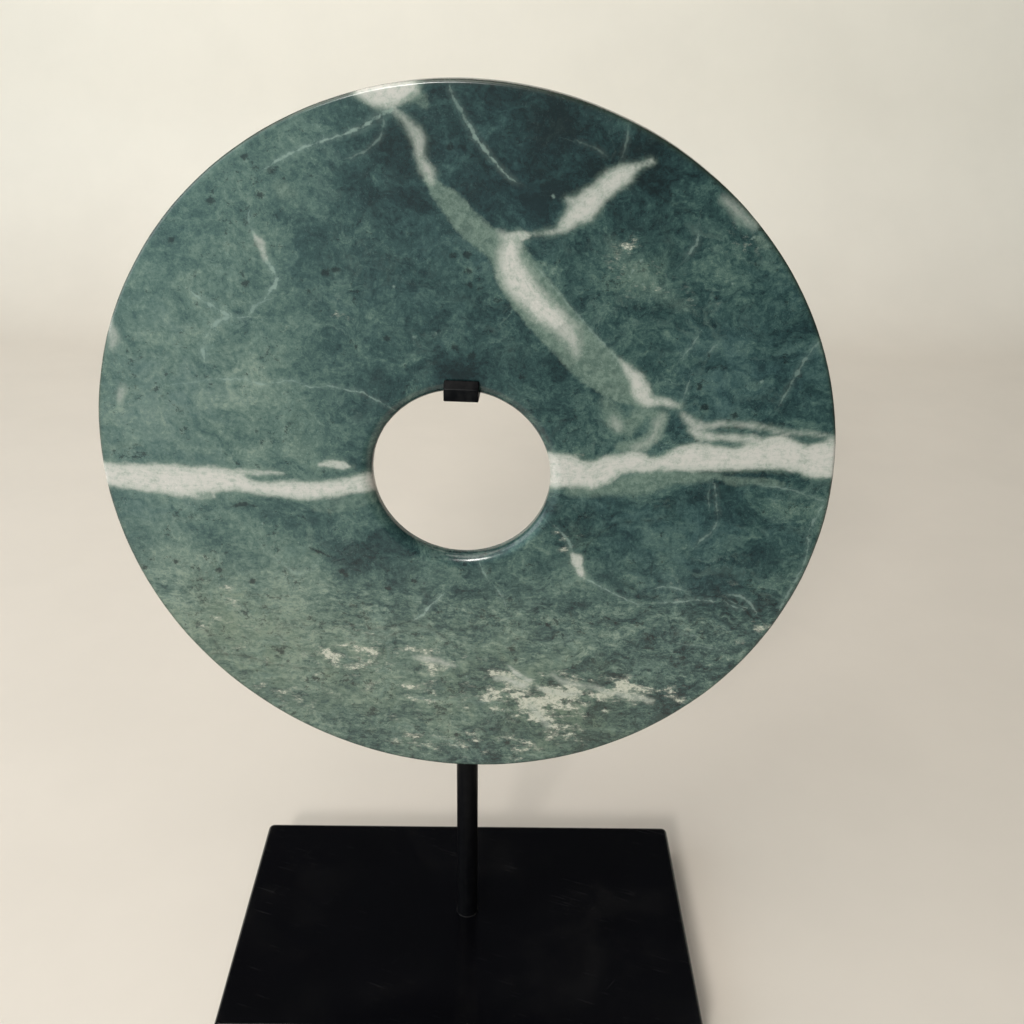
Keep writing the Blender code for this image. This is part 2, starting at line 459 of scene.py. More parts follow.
WHITE_VEINS = (
    Stroke(((-150, -6.0, 4.8), (-135, -7.2, 5.4), (-125, -7.7, 6.3), (-112, -7.9, 6.8),
            (-100, -7.1, 5.3), (-91, -7.4, 4.4), (-86, -9.6, 2.7), (-78, -10.2, 3.0),
            (-70, -10.3, 3.7), (-62, -10.4, 4.0), (-54, -9.5, 3.6), (-46, -7.8, 3.4),
            (-40, -6.4, 3.7), (-30, -4.6, 3.8)), 1.0, 1.2),
    Stroke(((-95, -3.4, 1.5), (-88, -3.1, 1.0), (-82, -3.4, 0.9), (-76, -2.9, 0.7),
            (-72, -3.0, 0.3)), 0.8),
    Stroke(((-110, -14.9, 0.5), (-106, -15.2, 0.6), (-101, -14.6, 0.3)), 0.8),
    Stroke(((-56.5, 1.2, 0.7), (-52.5, 1.7, 1.5), (-48, 1.5, 1.4), (-44.5, 0.8, 0.5)), 0.9),
    Stroke(((30, 2.0, 7.5), (40, 2.0, 7.2), (46, 1.4, 5.7), (52, 1.2, 5.8), (57, 4.0, 5.2),
            (61.7, 6.4, 4.0), (67.5, 7.2, 4.3), (73.5, 6.4, 3.1), (79.7, 7.6, 3.4),
            (84.8, 9.2, 4.9), (90.9, 10.2, 5.7), (99.9, 10.2, 5.1), (108, 10.4, 4.8),
            (114.8, 12.2, 6.0), (121.6, 13.6, 6.9), (127, 12.4, 6.3), (132.7, 11.7, 5.4),
            (137, 10.9, 7.2), (143.5, 11.6, 7.8), (150, 12, 8.2)), 0.95, 1.1),
    Stroke(((84.5, 28, 0.5), (87, 25.6, 1.6), (90, 23.2, 2.5), (93.6, 23.0, 1.4),
            (97, 24.0, 0.7), (101, 24.6, 0.9), (106, 24.4, 0.7), (112, 24.0, 0.9),
            (118, 23.0, 0.8), (126, 21.8, 0.9), (134, 22, 0.8), (141, 20.5, 1.0),
            (147, 20.4, 1.0)), 0.62, 1.4),
    Stroke(((87.5, 21.6, 0.9), (91, 19.8, 1.7), (96, 19.0, 1.7), (102, 19.0, 1.4),
            (108, 18.7, 1.5), (114, 18.0, 1.7), (119, 16.5, 1.6)), 0.78, 1.2),
    Stroke(((-38, 141.6, 0.6), (-34, 141.2, 3.0), (-28, 140.5, 5.0), (-23, 140.5, 4.6),
            (-17, 142, 2.4)), 0.95, 1.6),
    Stroke(((-22.6, 134.6, 0.7), (-17.8, 130, 1.3), (-15.0, 125, 2.0), (-14.4, 119.8, 1.2),
            (-12, 115, 2.1), (-10.2, 111, 0.9)), 0.62, 1.5),
    Stroke(((15, 93, 1.2), (18, 91, 2.4), (17.6, 86.5, 3.9), (19.0, 80.4, 5.0),
            (22.0, 75.6, 5.0), (25.6, 71.2, 4.6), (29.8, 66.7, 4.3), (34.8, 62.8, 3.8),
            (38.5, 59.4, 3.2)), 0.96, 2.6),
    Stroke(((34, 63, 3.0), (39.5, 58.6, 3.8), (41.8, 54.0, 2.6), (43, 50, 1.2)), 0.62, 3.0),
    Stroke(((17, 92.5, 1.6), (21, 93, 1.6), (25.5, 93.8, 0.5)), 0.9),
    Stroke(((25, 93.8, 0.3), (30, 94.4, 0.4), (33.9, 95.4, 0.6), (36.6, 97.1, 1.6),
            (40, 100.5, 3.2), (43.4, 103.3, 4.2), (46.3, 106.4, 3.9), (48, 108.4, 3.0),
            (50.1, 110.1, 3.2), (53.2, 113.1, 3.9), (56.3, 115.1, 3.3), (58.9, 116.8, 1.7),
            (60.4, 117.8, 0.9), (63.2, 118.9, 0.5), (66.2, 119.9, 0.2)), 0.86, 1.4),
    Stroke(((37.2, 106.4, 0.5), (39.8, 105.6, 1.5), (42.5, 105.1, 2.2)), 0.80, 1.4),
    Stroke(((59.6, 48.0, 0.3), (62.8, 44.6, 1.7), (66.2, 40.6, 3.1), (68.2, 35.8, 3.6),
            (70.5, 33, 2.4), (75, 32.6, 1.3), (79, 32.2, 1.0), (83, 31, 0.4)), 0.85, 1.3),
    Stroke(((58.4, 25.0, 0.8), (59.4, 22.8, 1.6), (60.2, 20.8, 0.8)), 0.45, 2.6),
    Stroke(((76.8, 26.4, 0.6), (75.2, 23.2, 1.8), (74.6, 19.6, 1.7), (71.4, 15.4, 1.5),
            (67, 13.4, 0.8)), 0.42, 2.4),
    Stroke(((45, -34.5, 1.0), (46.8, -36.5, 2.2), (47.8, -40.0, 1.8), (49.4, -43.6, 1.6),
            (50.5, -45.2, 0.5)), 0.95),
    Stroke(((92, 108, 0.6), (95, 105.6, 1.4), (98.6, 102.6, 1.8), (103, 99.5, 1.2)), 0.42, 2.2),
    Stroke(((-134.5, 60, 1.0), (-133.5, 55, 1.8), (-132.8, 51, 2.2), (-134, 46.5, 1.0)), 0.50, 1.8),
    Stroke(((-131.5, 31, 0.8), (-133.2, 28, 1.5), (-134.2, 25, 0.8)), 0.45, 1.5),
    Stroke(((-75.2, 91, 0.4), (-73.8, 88.7, 1.2), (-72.3, 85.4, 1.1), (-71.6, 82, 0.5)), 0.62),
    Stroke(((20, -90, 0.4), (22.5, -93, 0.9), (26, -95.2, 0.9), (29, -97.2, 1.3)), 0.95),
    Stroke(((14.5, -97, 0.5), (19, -96.6, 1.0), (23, -98.6, 1.2), (28, -100, 0.7)), 0.8, 1.4),
    Stroke(((-21, -87.6, 0.6), (-17, -88.2, 1.5), (-12, -88.6, 1.3), (-7, -90.4, 1.3),
            (-3.6, -91, 0.6)), 0.60, 1.4),
    Stroke(((29.6, -109.6, 0.7), (32.2, -113.6, 1.3), (35, -117, 1.0), (37.6, -121, 0.6)), 0.48,
           1.5),
    Stroke(((33, -101, 0.8), (39, -102.6, 1.3), (45, -103.4, 1.0), (51, -102.4, 0.6)), 0.45, 1.5),
    Stroke(((39, -93.6, 0.3), (44, -97, 1.0), (51, -98.4, 1.0), (57, -99.2, 0.6),
            (63, -101.4, 0.7), (72, -102.6, 1.0), (78, -103.6, 0.9), (82, -105, 1.0)), 0.5, 1.4),
)

PALE_BANDS = (
    Stroke(((-11.5, 112, 1.4), (-8, 108, 2.8), (-3.5, 104, 4.2), (1.5, 98, 4.8), (7, 93, 4.8),
            (12.5, 89.5, 4.8), (18, 84.5, 7.0), (23, 76, 8.2), (29, 68.4, 8.6), (39, 57.4, 8.1),
            (48.8, 47.6, 8.2), (55, 42.3, 7.6), (62, 37, 5.4), (69, 32.5, 2.6)), 0.9, 0.9),
    Stroke(((53, 93, 1.2), (59, 85, 2.8), (66, 79, 2.8), (74, 73, 1.8), (82, 69, 1.0)), 0.38, 3.0),
    Stroke(((55, 31, 2.2), (59.2, 24.5, 3.8), (63.7, 21.5, 3.4), (67.5, 26, 3.0)), 0.75, 2.0),
    Stroke(((70.7, 27.5, 1.4), (76.2, 27, 2.2), (75.2, 20.8, 2.4), (69.5, 15.0, 2.8),
            (62, 13.4, 2.0)), 0.9, 1.6),
    Stroke(((42, -6.2, 1.3), (50, -6.3, 1.8), (58, -4.8, 2.6), (66, -2.8, 4.0),
            (73, -1.2, 4.6), (81, 1.2, 3.2), (89, 1.6, 2.4), (97, 2.2, 1.6)), 0.85, 1.9),
    Stroke(((-60, -18.2, 1.2), (-52, -17.5, 2.2), (-44, -15.0, 2.4), (-36, -12.5, 2.2)), 0.45),
    Stroke(((-125, -23.6, 0.6), (-118, -25.4, 0.8), (-111, -25.4, 1.0), (-105, -22.8, 0.9),
            (-99, -21.6, 0.6)), 0.5),
    Stroke(((-148, 5.0, 0.8), (-138, 5.6, 0.9), (-132, 7.3, 0.8), (-128, 7.6, 0.3)), 0.6),
    Stroke(((-78, -43, 0.4), (-72, -47.5, 1.2), (-69, -49, 2.0), (-66, -46, 0.6)), 0.6),
    Stroke(((-63, -27, 0.4), (-62.6, -32, 1.3), (-64, -38, 0.8), (-66, -44, 0.5)), 0.45),
    Stroke(((-29, -75, 0.6), (-22, -73.2, 1.4), (-15, -73.5, 1.6), (-10, -77, 0.8)), 0.5),
    Stroke(((-66.5, 108.5, 0.9), (-63.6, 107, 2.8), (-60, 105.6, 1.0)), 0.65, 1.8),
    Stroke(((104, 95, 0.8), (106, 94, 1.8), (109, 91.5, 1.0)), 0.6),
    Stroke(((-28, 137, 1.0), (-20, 139.5, 2.0), (-14, 138.5, 2.2), (-12, 136, 1.0)), 0.5),
    Stroke(((96, 4.0, 0.8), (106, 1.0, 1.6), (116, 1.0, 1.8), (126, 0.2, 1.2)), 0.60),
    Stroke(((-47, -80, 1.6), (-40.5, -79.4, 2.6), (-34, -77.6, 1.8), (-28, -75.4, 0.8)), 0.60, 2.0),
)

LIGHT_THREADS = (
    Stroke(((27, 82.4, 0.5), (33, 76.0, 0.4), (39, 69.2, 0.5), (48.4, 59.2, 0.6),
            (58, 49.2, 0.7), (62, 44.5, 0.6)), 0.45),
    Stroke(((-3.6, 141.4, 0.5), (-2, 138.2, 0.6), (0.3, 134.5, 0.7), (2, 130.8, 0.8)), 0.50),
    Stroke(((2, 130.8, 0.8), (4.9, 126.7, 1.1), (7.2, 123.8, 0.8), (11.3, 119, 0.5),
            (14.8, 115.2, 0.5), (18.9, 111.9, 0.3), (22, 110.8, 0.1)), 0.78),
    Stroke(((-23.5, 134.8, 0.9), (-28, 132.4, 1.1), (-33, 129.4, 0.8), (-38, 127.2, 0.6),
            (-44, 125.2, 0.4), (-52, 122.6, 0.5), (-60, 119.4, 0.6), (-68, 114.8, 0.4)), 0.9),
    Stroke(((-71.8, 83.1, 0.8), (-70.5, 79.9, 0.9), (-68.4, 76.7, 1.3), (-68.4, 74, 1.3),
            (-70.9, 70.6, 1.0), (-72.8, 68.3, 0.5)), 0.85),
    Stroke(((-100, 68.4, 0.4), (-96.7, 66.2, 0.8), (-92.9, 63.9, 1.0), (-89.7, 62, 1.1),
            (-86.5, 60.1, 0.8), (-80.5, 60.3, 0.3)), 0.80),
    Stroke(((-112, 32.6, 0.2), (-106, 33.4, 0.2), (-98, 35.2, 0.25), (-90, 35.5, 0.3),
            (-84, 35.9, 0.25), (-79, 34.1, 0.4), (-73, 34.5, 0.4), (-65, 35.9, 0.3),
            (-58, 33.4, 0.35), (-51, 34.2, 0.35), (-44, 32.8, 0.45), (-38.5, 32.2, 0.4),
            (-34, 29.6, 0.3), (-29.5, 27.4, 0.3), (-26.5, 25.2, 0.2)), 0.8),
    Stroke(((-8.8, -56.5, 0.3), (-11.5, -59.6, 0.6), (-14.6, -62.6, 0.8), (-16.6, -66.2, 0.9),
            (-19.8, -68.6, 0.4)), 0.95),
    Stroke(((14.8, -53, 0.3), (17, -56.2, 0.7), (17.9, -59.3, 0.5)), 0.6),
    Stroke(((7.2, -40.5, 0.3), (8.8, -44, 0.7), (10.6, -47.8, 0.4)), 0.6),
    Stroke(((50, -45, 0.5), (54, -47, 0.6), (58, -49.4, 0.4), (63, -52, 0.3),
            (68, -54.6, 0.3), (74, -57, 0.2)), 0.8),
    Stroke(((99.5, -1.5, 0.5), (101, -8.5, 0.5), (102, -15.5, 0.5), (100.8, -20.8, 0.6),
            (97.2, -25, 0.7), (94.5, -28.4, 0.4)), 0.6),
    Stroke(((143.6, -6.5, 0.5), (141, -12, 0.6), (138.6, -20, 0.7), (139.3, -29.5, 0.6),
            (137.6, -38, 0.6), (134.6, -47, 0.8), (131.6, -55, 0.6)), 0.6),
    Stroke(((132.5, 58.5, 0.4), (129.3, 54.5, 0.8), (126.5, 48.5, 0.8), (124.3, 42.5, 0.7),
            (122, 37.2, 0.6), (120.6, 33.2, 0.3)), 0.5),
    Stroke(((84.2, 97, 0.4), (83.7, 92, 0.9), (81, 87.6, 0.5)), 0.55),
    Stroke(((87, 57.5, 0.3), (85, 53.6, 0.5), (82.8, 50.8, 0.3)), 0.6),
    Stroke(((109, -50.6, 0.4), (114, -50.5, 0.8), (118.6, -53.2, 0.7), (121.6, -57.6, 0.4)), 0.6),
    Stroke(((81, -48.4, 0.3), (85, -47.6, 0.6), (90, -48.6, 0.4)), 0.7),
    Stroke(((82, -55.6, 0.3), (90, -54.6, 0.5), (98, -53.4, 0.6), (103.5, -53.6, 0.4)), 0.8),
    Stroke(((110, -54.6, 0.3), (113, -56, 0.6), (116, -56.8, 0.3)), 0.8),
    Stroke(((38, -22.5, 0.3), (41.5, -26, 0.6), (44, -30, 0.7), (45.5, -34, 0.5)), 0.6),
    Stroke(((-22, -109, 0.3), (-12, -109.6, 0.5), (4, -109.4, 0.4), (16, -109.6, 0.4)), 0.35),
    Stroke(((91, -69.8, 0.2), (95, -70.4, 0.4), (99, -71, 0.2)), 0.5),
)

SIDE_THREADS = (
    Stroke(((-26.6, 132, 0.4), (-27.2, 127.4, 0.5), (-30, 123.4, 0.5), (-34.5, 120.2, 0.5),
            (-39, 118.6, 0.3)), 0.5),
    Stroke(((-87.2, 60, 0.7), (-91.4, 58.5, 1.0), (-94.8, 55, 1.0), (-97.7, 50.8, 1.1),
            (-98.7, 47.2, 1.1), (-98.5, 43, 0.6)), 0.80),
    Stroke(((-71.8, 67.3, 0.3), (-76, 65.5, 0.7), (-77.7, 64.4, 1.0), (-79, 61.7, 0.7)), 0.6),
    Stroke(((97.5, -2.6, 0.4), (97.2, -6, 0.4), (98, -9.6, 0.3)), 0.45),
    Stroke(((118, -0.6, 0.3), (127.5, -1.6, 0.4), (135.5, -4, 0.5), (143, -6.5, 0.4)), 0.55),
    Stroke(((57.2, 130, 0.3), (57, 126, 0.5), (55.8, 121, 0.3)), 0.4),
    Stroke(((95.6, 57.2, 0.3), (93.8, 54.6, 0.4), (91.6, 52.2, 0.2)), 0.5),
    Stroke(((-79, -41, 0.3), (-74, -45.4, 0.5), (-69, -49, 0.6), (-63, -46, 0.4),
            (-60, -42.6, 0.3)), 0.4),
    Stroke(((-76.4, 98.2, 0.4), (-76.4, 93.8, 0.6), (-75.1, 90.7, 0.8)), 0.6),
    Stroke(((85.6, 40, 0.3), (84.8, 36, 0.5), (83.8, 33, 0.4)), 0.5),
    Stroke(((-14, -129.4, 0.3), (-8, -130.8, 0.5), (-3.6, -133.4, 0.9), (-1.6, -135.4, 0.4)),
           0.6),
    Stroke(((45, -74.4, 0.3), (43, -76.6, 0.4)), 0.35),
    Stroke(((62, -121, 0.3), (70, -121.4, 0.4)), 0.3),
    Stroke(((-45, -6.6, 0.2), (-40, -5.4, 0.2)), 0.2),
    Stroke(((92, -75, 0.3), (98, -75.6, 0.4), (104, -76.2, 0.4), (111, -77.4, 0.3)), 0.5),
    Stroke(((41, 125.6, 0.3), (46, 124, 0.4), (50, 121.4, 0.3)), 0.35),
)

DARK_SEAMS = (
    Stroke(((94, 3.8, 0.4), (104, 4.9, 0.6), (112, 5.3, 0.6), (120, 5.1, 0.6),
            (127, 3.8, 0.4)), 0.7),
    Stroke(((50, -34, 0.3), (51.4, -29.6, 0.6), (55.5, -25, 0.6), (61, -20.6, 0.8),
            (68, -18.6, 0.6), (76, -17.8, 0.5), (82, -15.6, 0.3)), 0.6),
    Stroke(((60.6, 117, 0.5), (65, 112, 0.6), (70.5, 107.6, 0.6), (76, 105.2, 0.5),
            (81.5, 102.8, 0.3)), 0.6),
    Stroke(((-113, -90.4, 0.5), (-105, -90.6, 0.8), (-95, -91, 0.7), (-85, -93.8, 0.5),
            (-70, -96, 0.5), (-58, -95.6, 0.4)), 0.6),
    Stroke(((-115, -75.6, 0.3), (-110, -79.6, 0.6), (-107, -86, 0.5), (-104, -90, 0.5)), 0.5),
    Stroke(((-20, -69, 0.3), (-27, -71.6, 0.5), (-33, -73.2, 0.5), (-39, -74.4, 0.3)), 0.6),
    Stroke(((-34.4, -86, 0.4), (-33, -80, 0.6), (-29, -76.2, 0.6), (-24, -74.6, 0.5),
            (-18.6, -71.6, 0.4), (-12, -73.6, 0.5), (-6.6, -78, 0.5)), 0.5),
    Stroke(((99.6, -52.6, 0.5), (105.6, -51, 0.6), (112, -52.6, 0.8), (117, -56.4, 0.8),
            (120.6, -60.6, 0.5)), 0.8),
    Stroke(((61, -63.8, 0.5), (65.4, -66.6, 0.7)), 0.9),
    Stroke(((67.5, -47.4, 0.5), (71, -49.8, 0.5)), 0.8),
    Stroke(((72, -52.6, 0.8), (80, -52.8, 1.0)), 0.8),
    Stroke(((-79, -74.4, 0.2), (-74, -72.2, 0.3), (-69.4, -71.6, 0.2)), 0.6),
    Stroke(((-79, -77.6, 0.2), (-74.6, -75.4, 0.3), (-70, -75.4, 0.2)), 0.6),
    Stroke(((-93, -18.4, 0.6), (-88.6, -17.4, 1.3), (-85, -17.8, 0.6)), 0.8),
    Stroke(((-62, -37, 0.5), (-59, -38.4, 1.0), (-55.6, -39.8, 0.5)), 0.9),
    Stroke(((-45, -128, 0.2), (-35, -129, 0.4), (-25, -129, 0.4), (-18, -129.4, 0.3)), 0.5),
    Stroke(((45, -62, 0.5), (46.6, -65, 1.0)), 0.6),
    Stroke(((90, 18.8, 0.4), (97, 18.2, 0.6), (104, 18.6, 0.6), (110, 15.4, 0.4)), 0.5),
    Stroke(((101, 23.2, 0.6), (107, 23.4, 0.8)), 0.7),
    Stroke(((-14.6, 112, 0.8), (-13.6, 116.4, 0.6)), 0.6),
    Stroke(((-12.6, -36, 0.3), (-10.6, -38.6, 0.8)), 0.8),
    Stroke(((-40.6, -39.4, 0.7), (-34, -39.8, 0.8)), 0.7),
    Stroke(((77.6, -38, 0.3), (77.8, -41.6, 0.5)), 0.5),
    Stroke(((60, -127, 0.3), (66, -125, 0.5)), 0.5),
)

# Small spots: (x, z, half width) in millimetres
DARK_SPOTS = (
    (-74, 87.5, 1.2), (-72, 105, 1.0), (-90, 102.5, 1.1), (-76, 118, 1.0), (-67, 113.5, 0.9),
    (-106, 88, 1.1), (-50, 78, 1.2), (-46, 79, 0.9), (-80, 73, 1.0), (-3, 85.5, 0.9),
    (2, 86, 1.2), (2.5, 80, 0.9), (3, 75, 0.9), (-4, 123, 1.1), (1, 123, 0.8), (-2.5, 51, 1.0),
    (4, 48, 1.2), (-28, 54, 0.9), (98, 47, 0.8), (92, 51.5, 0.7), (90, 39, 0.9),
    (92.5, 31, 1.2), (104, 28, 1.0), (-120, -45.5, 1.0), (-102, -48.5, 1.1),
    (-88.5, -53.5, 1.0), (-50, -47, 1.1), (-48.5, -48.5, 0.8), (-134, -49, 1.0),
    (-79, -88, 1.1), (-65, -101, 1.0), (-48, -103, 1.0), (-40, -116.5, 0.9),
    (-2.5, -128, 1.0), (20, -131, 0.9), (-31, -54, 1.0), (-20, -50, 0.9), (36, -68.5, 0.9),
    (21, -81.5, 1.0), (94, -82, 0.9), (23, 40.5, 0.9),
)

# Pale spots. The first four stand for small glints on the polish: painted highlights.
PALE_SPOTS_AND_GLINTS = (
    (-17.5, 54.5, 0.8), (-9.5, 56, 0.7), (-25, 73.5, 0.6), (32.4, 107.4, 1.0), (-39, 4, 0.6),
    (2, -96.5, 0.7), (-23, -109, 0.6), (-12, -109.5, 0.7), (7, -109.5, 0.6),
    (15, -109.5, 0.6), (-37, -115, 0.6), (-28, -118, 0.7), (-82, -26, 0.7),
    (-68, -69.5, 0.7), (47, -126, 0.9), (103.5, 94.7, 0.9), (58.5, 86, 0.7), (62, 82, 0.7),
    (66, 77, 0.7), (84, 72, 0.8), (95, 70, 0.7), (98, 78.5, 0.6), (97, 91, 0.6),
    (113, -75, 0.7), (118, -79, 0.7), (112.9, 41.7, 0.9), (58.5, 90, 0.8), (65, 85.5, 0.8),
    (61, 80, 0.8),
)

# Tone adds lightness, warmth turns the green yellower, crackle breaks it into pale grains. Besides
# the stone's own clouds, the lighter left and bottom, the cooler left and the warmer bottom are a
# painted reflection of a bright window and a warm floor in the polish.
TONE_AND_SHEEN = (
    Patch(0, 122, 34, -0.42), Patch(-30, 92, 32, -0.38), Patch(62, 112, 36, -0.42),
    Patch(106, 62, 44, -0.16), Patch(10, 58, 38, -0.12), Patch(-34, 32, 24, -0.34),
    Patch(112, -12, 34, -0.20), Patch(112, -46, 30, 0.06), Patch(-38, -40, 14, -0.35),
    Patch(88, -84, 26, -0.04), Patch(66, 60, 26, -0.10), Patch(42, -122, 16, -0.20),
    Patch(-120, 44, 55, 0.54), Patch(-125, -10, 40, 0.22), Patch(-92, 14, 42, 0.34),
    Patch(-115, -64, 45, 0.58), Patch(-75, -85, 45, 0.50), Patch(-38, -96, 50, 0.40),
    Patch(16, -86, 44, 0.38), Patch(50, -100, 28, 0.25), Patch(-55, 120, 18, 0.34),
    Patch(-96, 84, 34, 0.30), Patch(25, 130, 30, -0.66), Patch(66, 117, 24, -0.52),
    Patch(122, 64, 28, -0.38), Patch(60, -12, 30, -0.04), Patch(-30, -45, 28, -0.38),
    Patch(80, 84, 28, 0.38), Patch(100, -20, 32, -0.10), Patch(-38, 45, 32, -0.08),
    Patch(10, 45, 26, -0.32), Patch(-52, 66, 34, 0.14), Patch(28, 103, 9, -0.50),
    Patch(30, 132, 8, -0.5), Patch(38, 127, 6, -0.4), Patch(69, 97, 10, -0.4),
    Patch(95, 88, 8, -0.35), Patch(-18, 105, 9, -0.35), Patch(80, 24, 6, -0.5),
    Patch(46, -15, 12, -0.25), Patch(78, -50, 14, -0.40), Patch(110, -48, 10, -0.3),
    Patch(6, -100.6, 7, -0.95, 2.2, 0.12), Patch(-28, -86, 10, -0.42), Patch(18, -93, 5, -0.45),
    Patch(30, -104, 4, -0.45), Patch(84, -110, 11, -0.35, 1.8, 0.75),
    Patch(-88, -104, 8, -0.35, 2.4, -0.35), Patch(-65, -114, 7, -0.3, 3.0, -0.25),
    Patch(-45, -96, 7, -0.3, 3.0, 0.0), Patch(-80, -21, 6, -0.35), Patch(-61, -22, 4, -0.4),
    Patch(-45, -42, 9, -0.30), Patch(100, 35, 22, -0.15), Patch(-110, 15, 14, -0.2, 2.0, -0.3),
    Patch(-78, 20, 22, 0.26), Patch(-62, -62, 26, 0.28), Patch(68, -62, 26, 0.18),
    Patch(-33, -24, 14, 0.36), Patch(-12, -37, 12, 0.20), Patch(104, 48, 14, 0.24),
    Patch(-60, 42, 16, 0.22), Patch(-100, 62, 20, -0.20),
    Patch(-122, -66, 16, 0.22), Patch(-42, -84, 12, 0.25), Patch(62, -80, 18, 0.26),
    Patch(40, 42, 14, -0.28), Patch(20, 62, 14, 0.22), Patch(102, -3, 14, -0.38),
    Patch(44, -106, 18, -0.45), Patch(60, -116, 14, -0.25),
    Patch(-30, 119, 20, -0.42), Patch(-84, 116, 14, 0.30), Patch(18, 100, 8, 0.30),
    Patch(62, 24, 12, 0.30), Patch(60, 20, 16, 0.20), Patch(64, 84, 10, 0.35),
    # Painted shade: this dark streak just above the hook stands for the hook's shadow and its
    # reflection in the polish.
    Patch(0, 41.5, 6, -0.80, 1.6, 0.0),
)

# Painted reflection: the warm patches at the bottom and the cool ones at the left stand partly for
# a warm floor and a bright window mirrored in the polish.
WARMTH_AND_SHEEN = (
    Patch(-80, -90, 50, 0.52), Patch(-20, -115, 55, 0.48), Patch(50, -118, 38, 0.85),
    Patch(-110, -75, 30, 0.45), Patch(20, -80, 40, 0.25), Patch(70, 82, 24, 0.40),
    Patch(-60, 5, 30, 0.20), Patch(-120, 30, 50, -0.35), Patch(-130, -15, 30, -0.30),
    Patch(-20, 85, 50, -0.25), Patch(60, -12, 26, -0.35), Patch(105, 45, 46, -0.55),
    Patch(100, -35, 42, -0.45), Patch(20, 110, 40, -0.35),
    Patch(46, -26, 9, 0.6), Patch(46, 8, 6, 0.6),
)

CRACKLE = (
    Patch(-14, -89, 6, 1.10, 1.8, -0.15), Patch(22, -97.5, 5, 1.00, 1.8, -0.3),
    Patch(-42, -86.5, 9, 1.00), Patch(-59, -88, 7, 0.85, 1.5, 0.0),
    Patch(39, -103, 6, 1.05, 1.5, 0.0),
    Patch(46, -101, 9, 0.50, 1.6, -0.1), Patch(62, -102, 9, 0.60, 1.7, 0.0),
    Patch(69, -97, 5, 1.10, 1.4, 0.3), Patch(32, -114, 6, 1.20, 1.8, -0.9),
    Patch(26, -108, 6, 0.60, 1.5, -0.4), Patch(48, -126, 7, 0.90, 1.4, -0.6),
    Patch(51, -109, 9, 0.55, 1.4, 0.2), Patch(40, -121, 6, 0.45),
    Patch(78, -104, 8, 0.70, 1.8, 0.1),
    Patch(-105, -68, 14, 0.32), Patch(61, 83, 10, 0.30), Patch(70, 78, 9, 0.28),
    Patch(88, 72, 9, 0.24), Patch(57, 92, 6, 0.25), Patch(43, -27, 7, 0.45),
    Patch(47, 8, 5, 0.7), Patch(88, -48, 7, 0.45), Patch(108, -49, 6, 0.40),
    Patch(124, -65, 5, 0.85), Patch(-81, -110.4, 5, 0.85, 2.2, -0.4), Patch(94, -101, 6, 0.6),
    Patch(-20, -130, 7, 0.50, 2.4, -0.2), Patch(5, -134, 6, 0.50, 2.4, 0.1),
    Patch(-45, 64, 8, 0.28), Patch(-98, -57, 7, 0.35), Patch(62, 23, 5, 0.45),
    Patch(-18, -106, 7, 0.45, 2.2, 0.0), Patch(8, -108, 6, 0.45, 2.4, 0.0),
    Patch(118, -76, 5, 0.45), Patch(100, 95, 9, 0.35), Patch(26, -132, 8, 0.45),
    Patch(-60, -105, 40, 0.16), Patch(10, -110, 45, 0.20), Patch(-100, -75, 30, 0.12),
)


def nearest_stroke(places: np.ndarray, strokes: tuple[Stroke, ...], reach: float = 14.0
                   ) -> tuple[np.ndarray, ...]:
    """Measure every place against the nearest stroke's edge.

    Args:
        places: (count, 2) places on the disc's plane, in millimetres.
        strokes: the strokes to measure against.
        reach: distance in millimetres beyond which nothing is measured.

    Returns:
        Signed distance to the stroke's middle line, plain distance to it, half
        width there, and the stroke's force and softness.
    """
    count = len(places)
    side, away = np.full(count, reach), np.full(count, reach)
    half, force, soft = np.zeros(count), np.zeros(count), np.full(count, Stroke.soft)
    best = np.full(count, reach)
    for stroke in strokes:
        path = stroke.path()
        low, high = path[:, :2].min(0) - reach, path[:, :2].max(0) + reach
        near = np.flatnonzero(((places > low) & (places < high)).all(1))
        if not near.size:
            continue
        start, step = path[:-1, :2], np.diff(path[:, :2], axis=0)
        offset = places[near][:, None] - start[None]
        share = np.clip((offset * step).sum(2) / (step ** 2).sum(1), 0.0, 1.0)
        left = offset - share[..., None] * step
        length = np.hypot(left[..., 0], left[..., 1])
        width = path[:-1, 2] + share * np.diff(path[:, 2])
        pick = (length - width).argmin(1)
        row = np.arange(len(near))
        free = (length - width)[row, pick]
        cross = (step[pick, 0] * offset[row, pick, 1] - step[pick, 1] * offset[row, pick, 0])
        won = free < best[near]
        chosen = near[won]
        best[chosen] = free[won]
        sign = np.where(cross >= 0, 1.0, -1.0)
        side[chosen] = (sign * length[row, pick])[won]
        away[chosen] = length[row, pick][won]
        half[chosen] = width[row, pick][won]
        force[chosen] = stroke.force
        soft[chosen] = stroke.soft
    return side, away, half, force, soft


def nearest_spot(places: np.ndarray, spots: tuple[Triple, ...], reach: float = 9.0,
                 squash: float = 0.8) -> np.ndarray:
    """Measure every place against the edge of the nearest spot.

    Args:
        places: (count, 2) places on the disc's plane, in millimetres.
        spots: (x, z, half width) of each spot, in millimetres.
        reach: distance in millimetres beyond which nothing is measured.
        squash: how high a spot is for its width.

    Returns:
        The distances, below zero inside a spot.
    """
    best = np.full(len(places), reach)
    for x, z, half in spots:
        away = np.hypot(squash * (places[:, 0] - x), places[:, 1] - z) - half
        best = np.minimum(best, away)
    return best


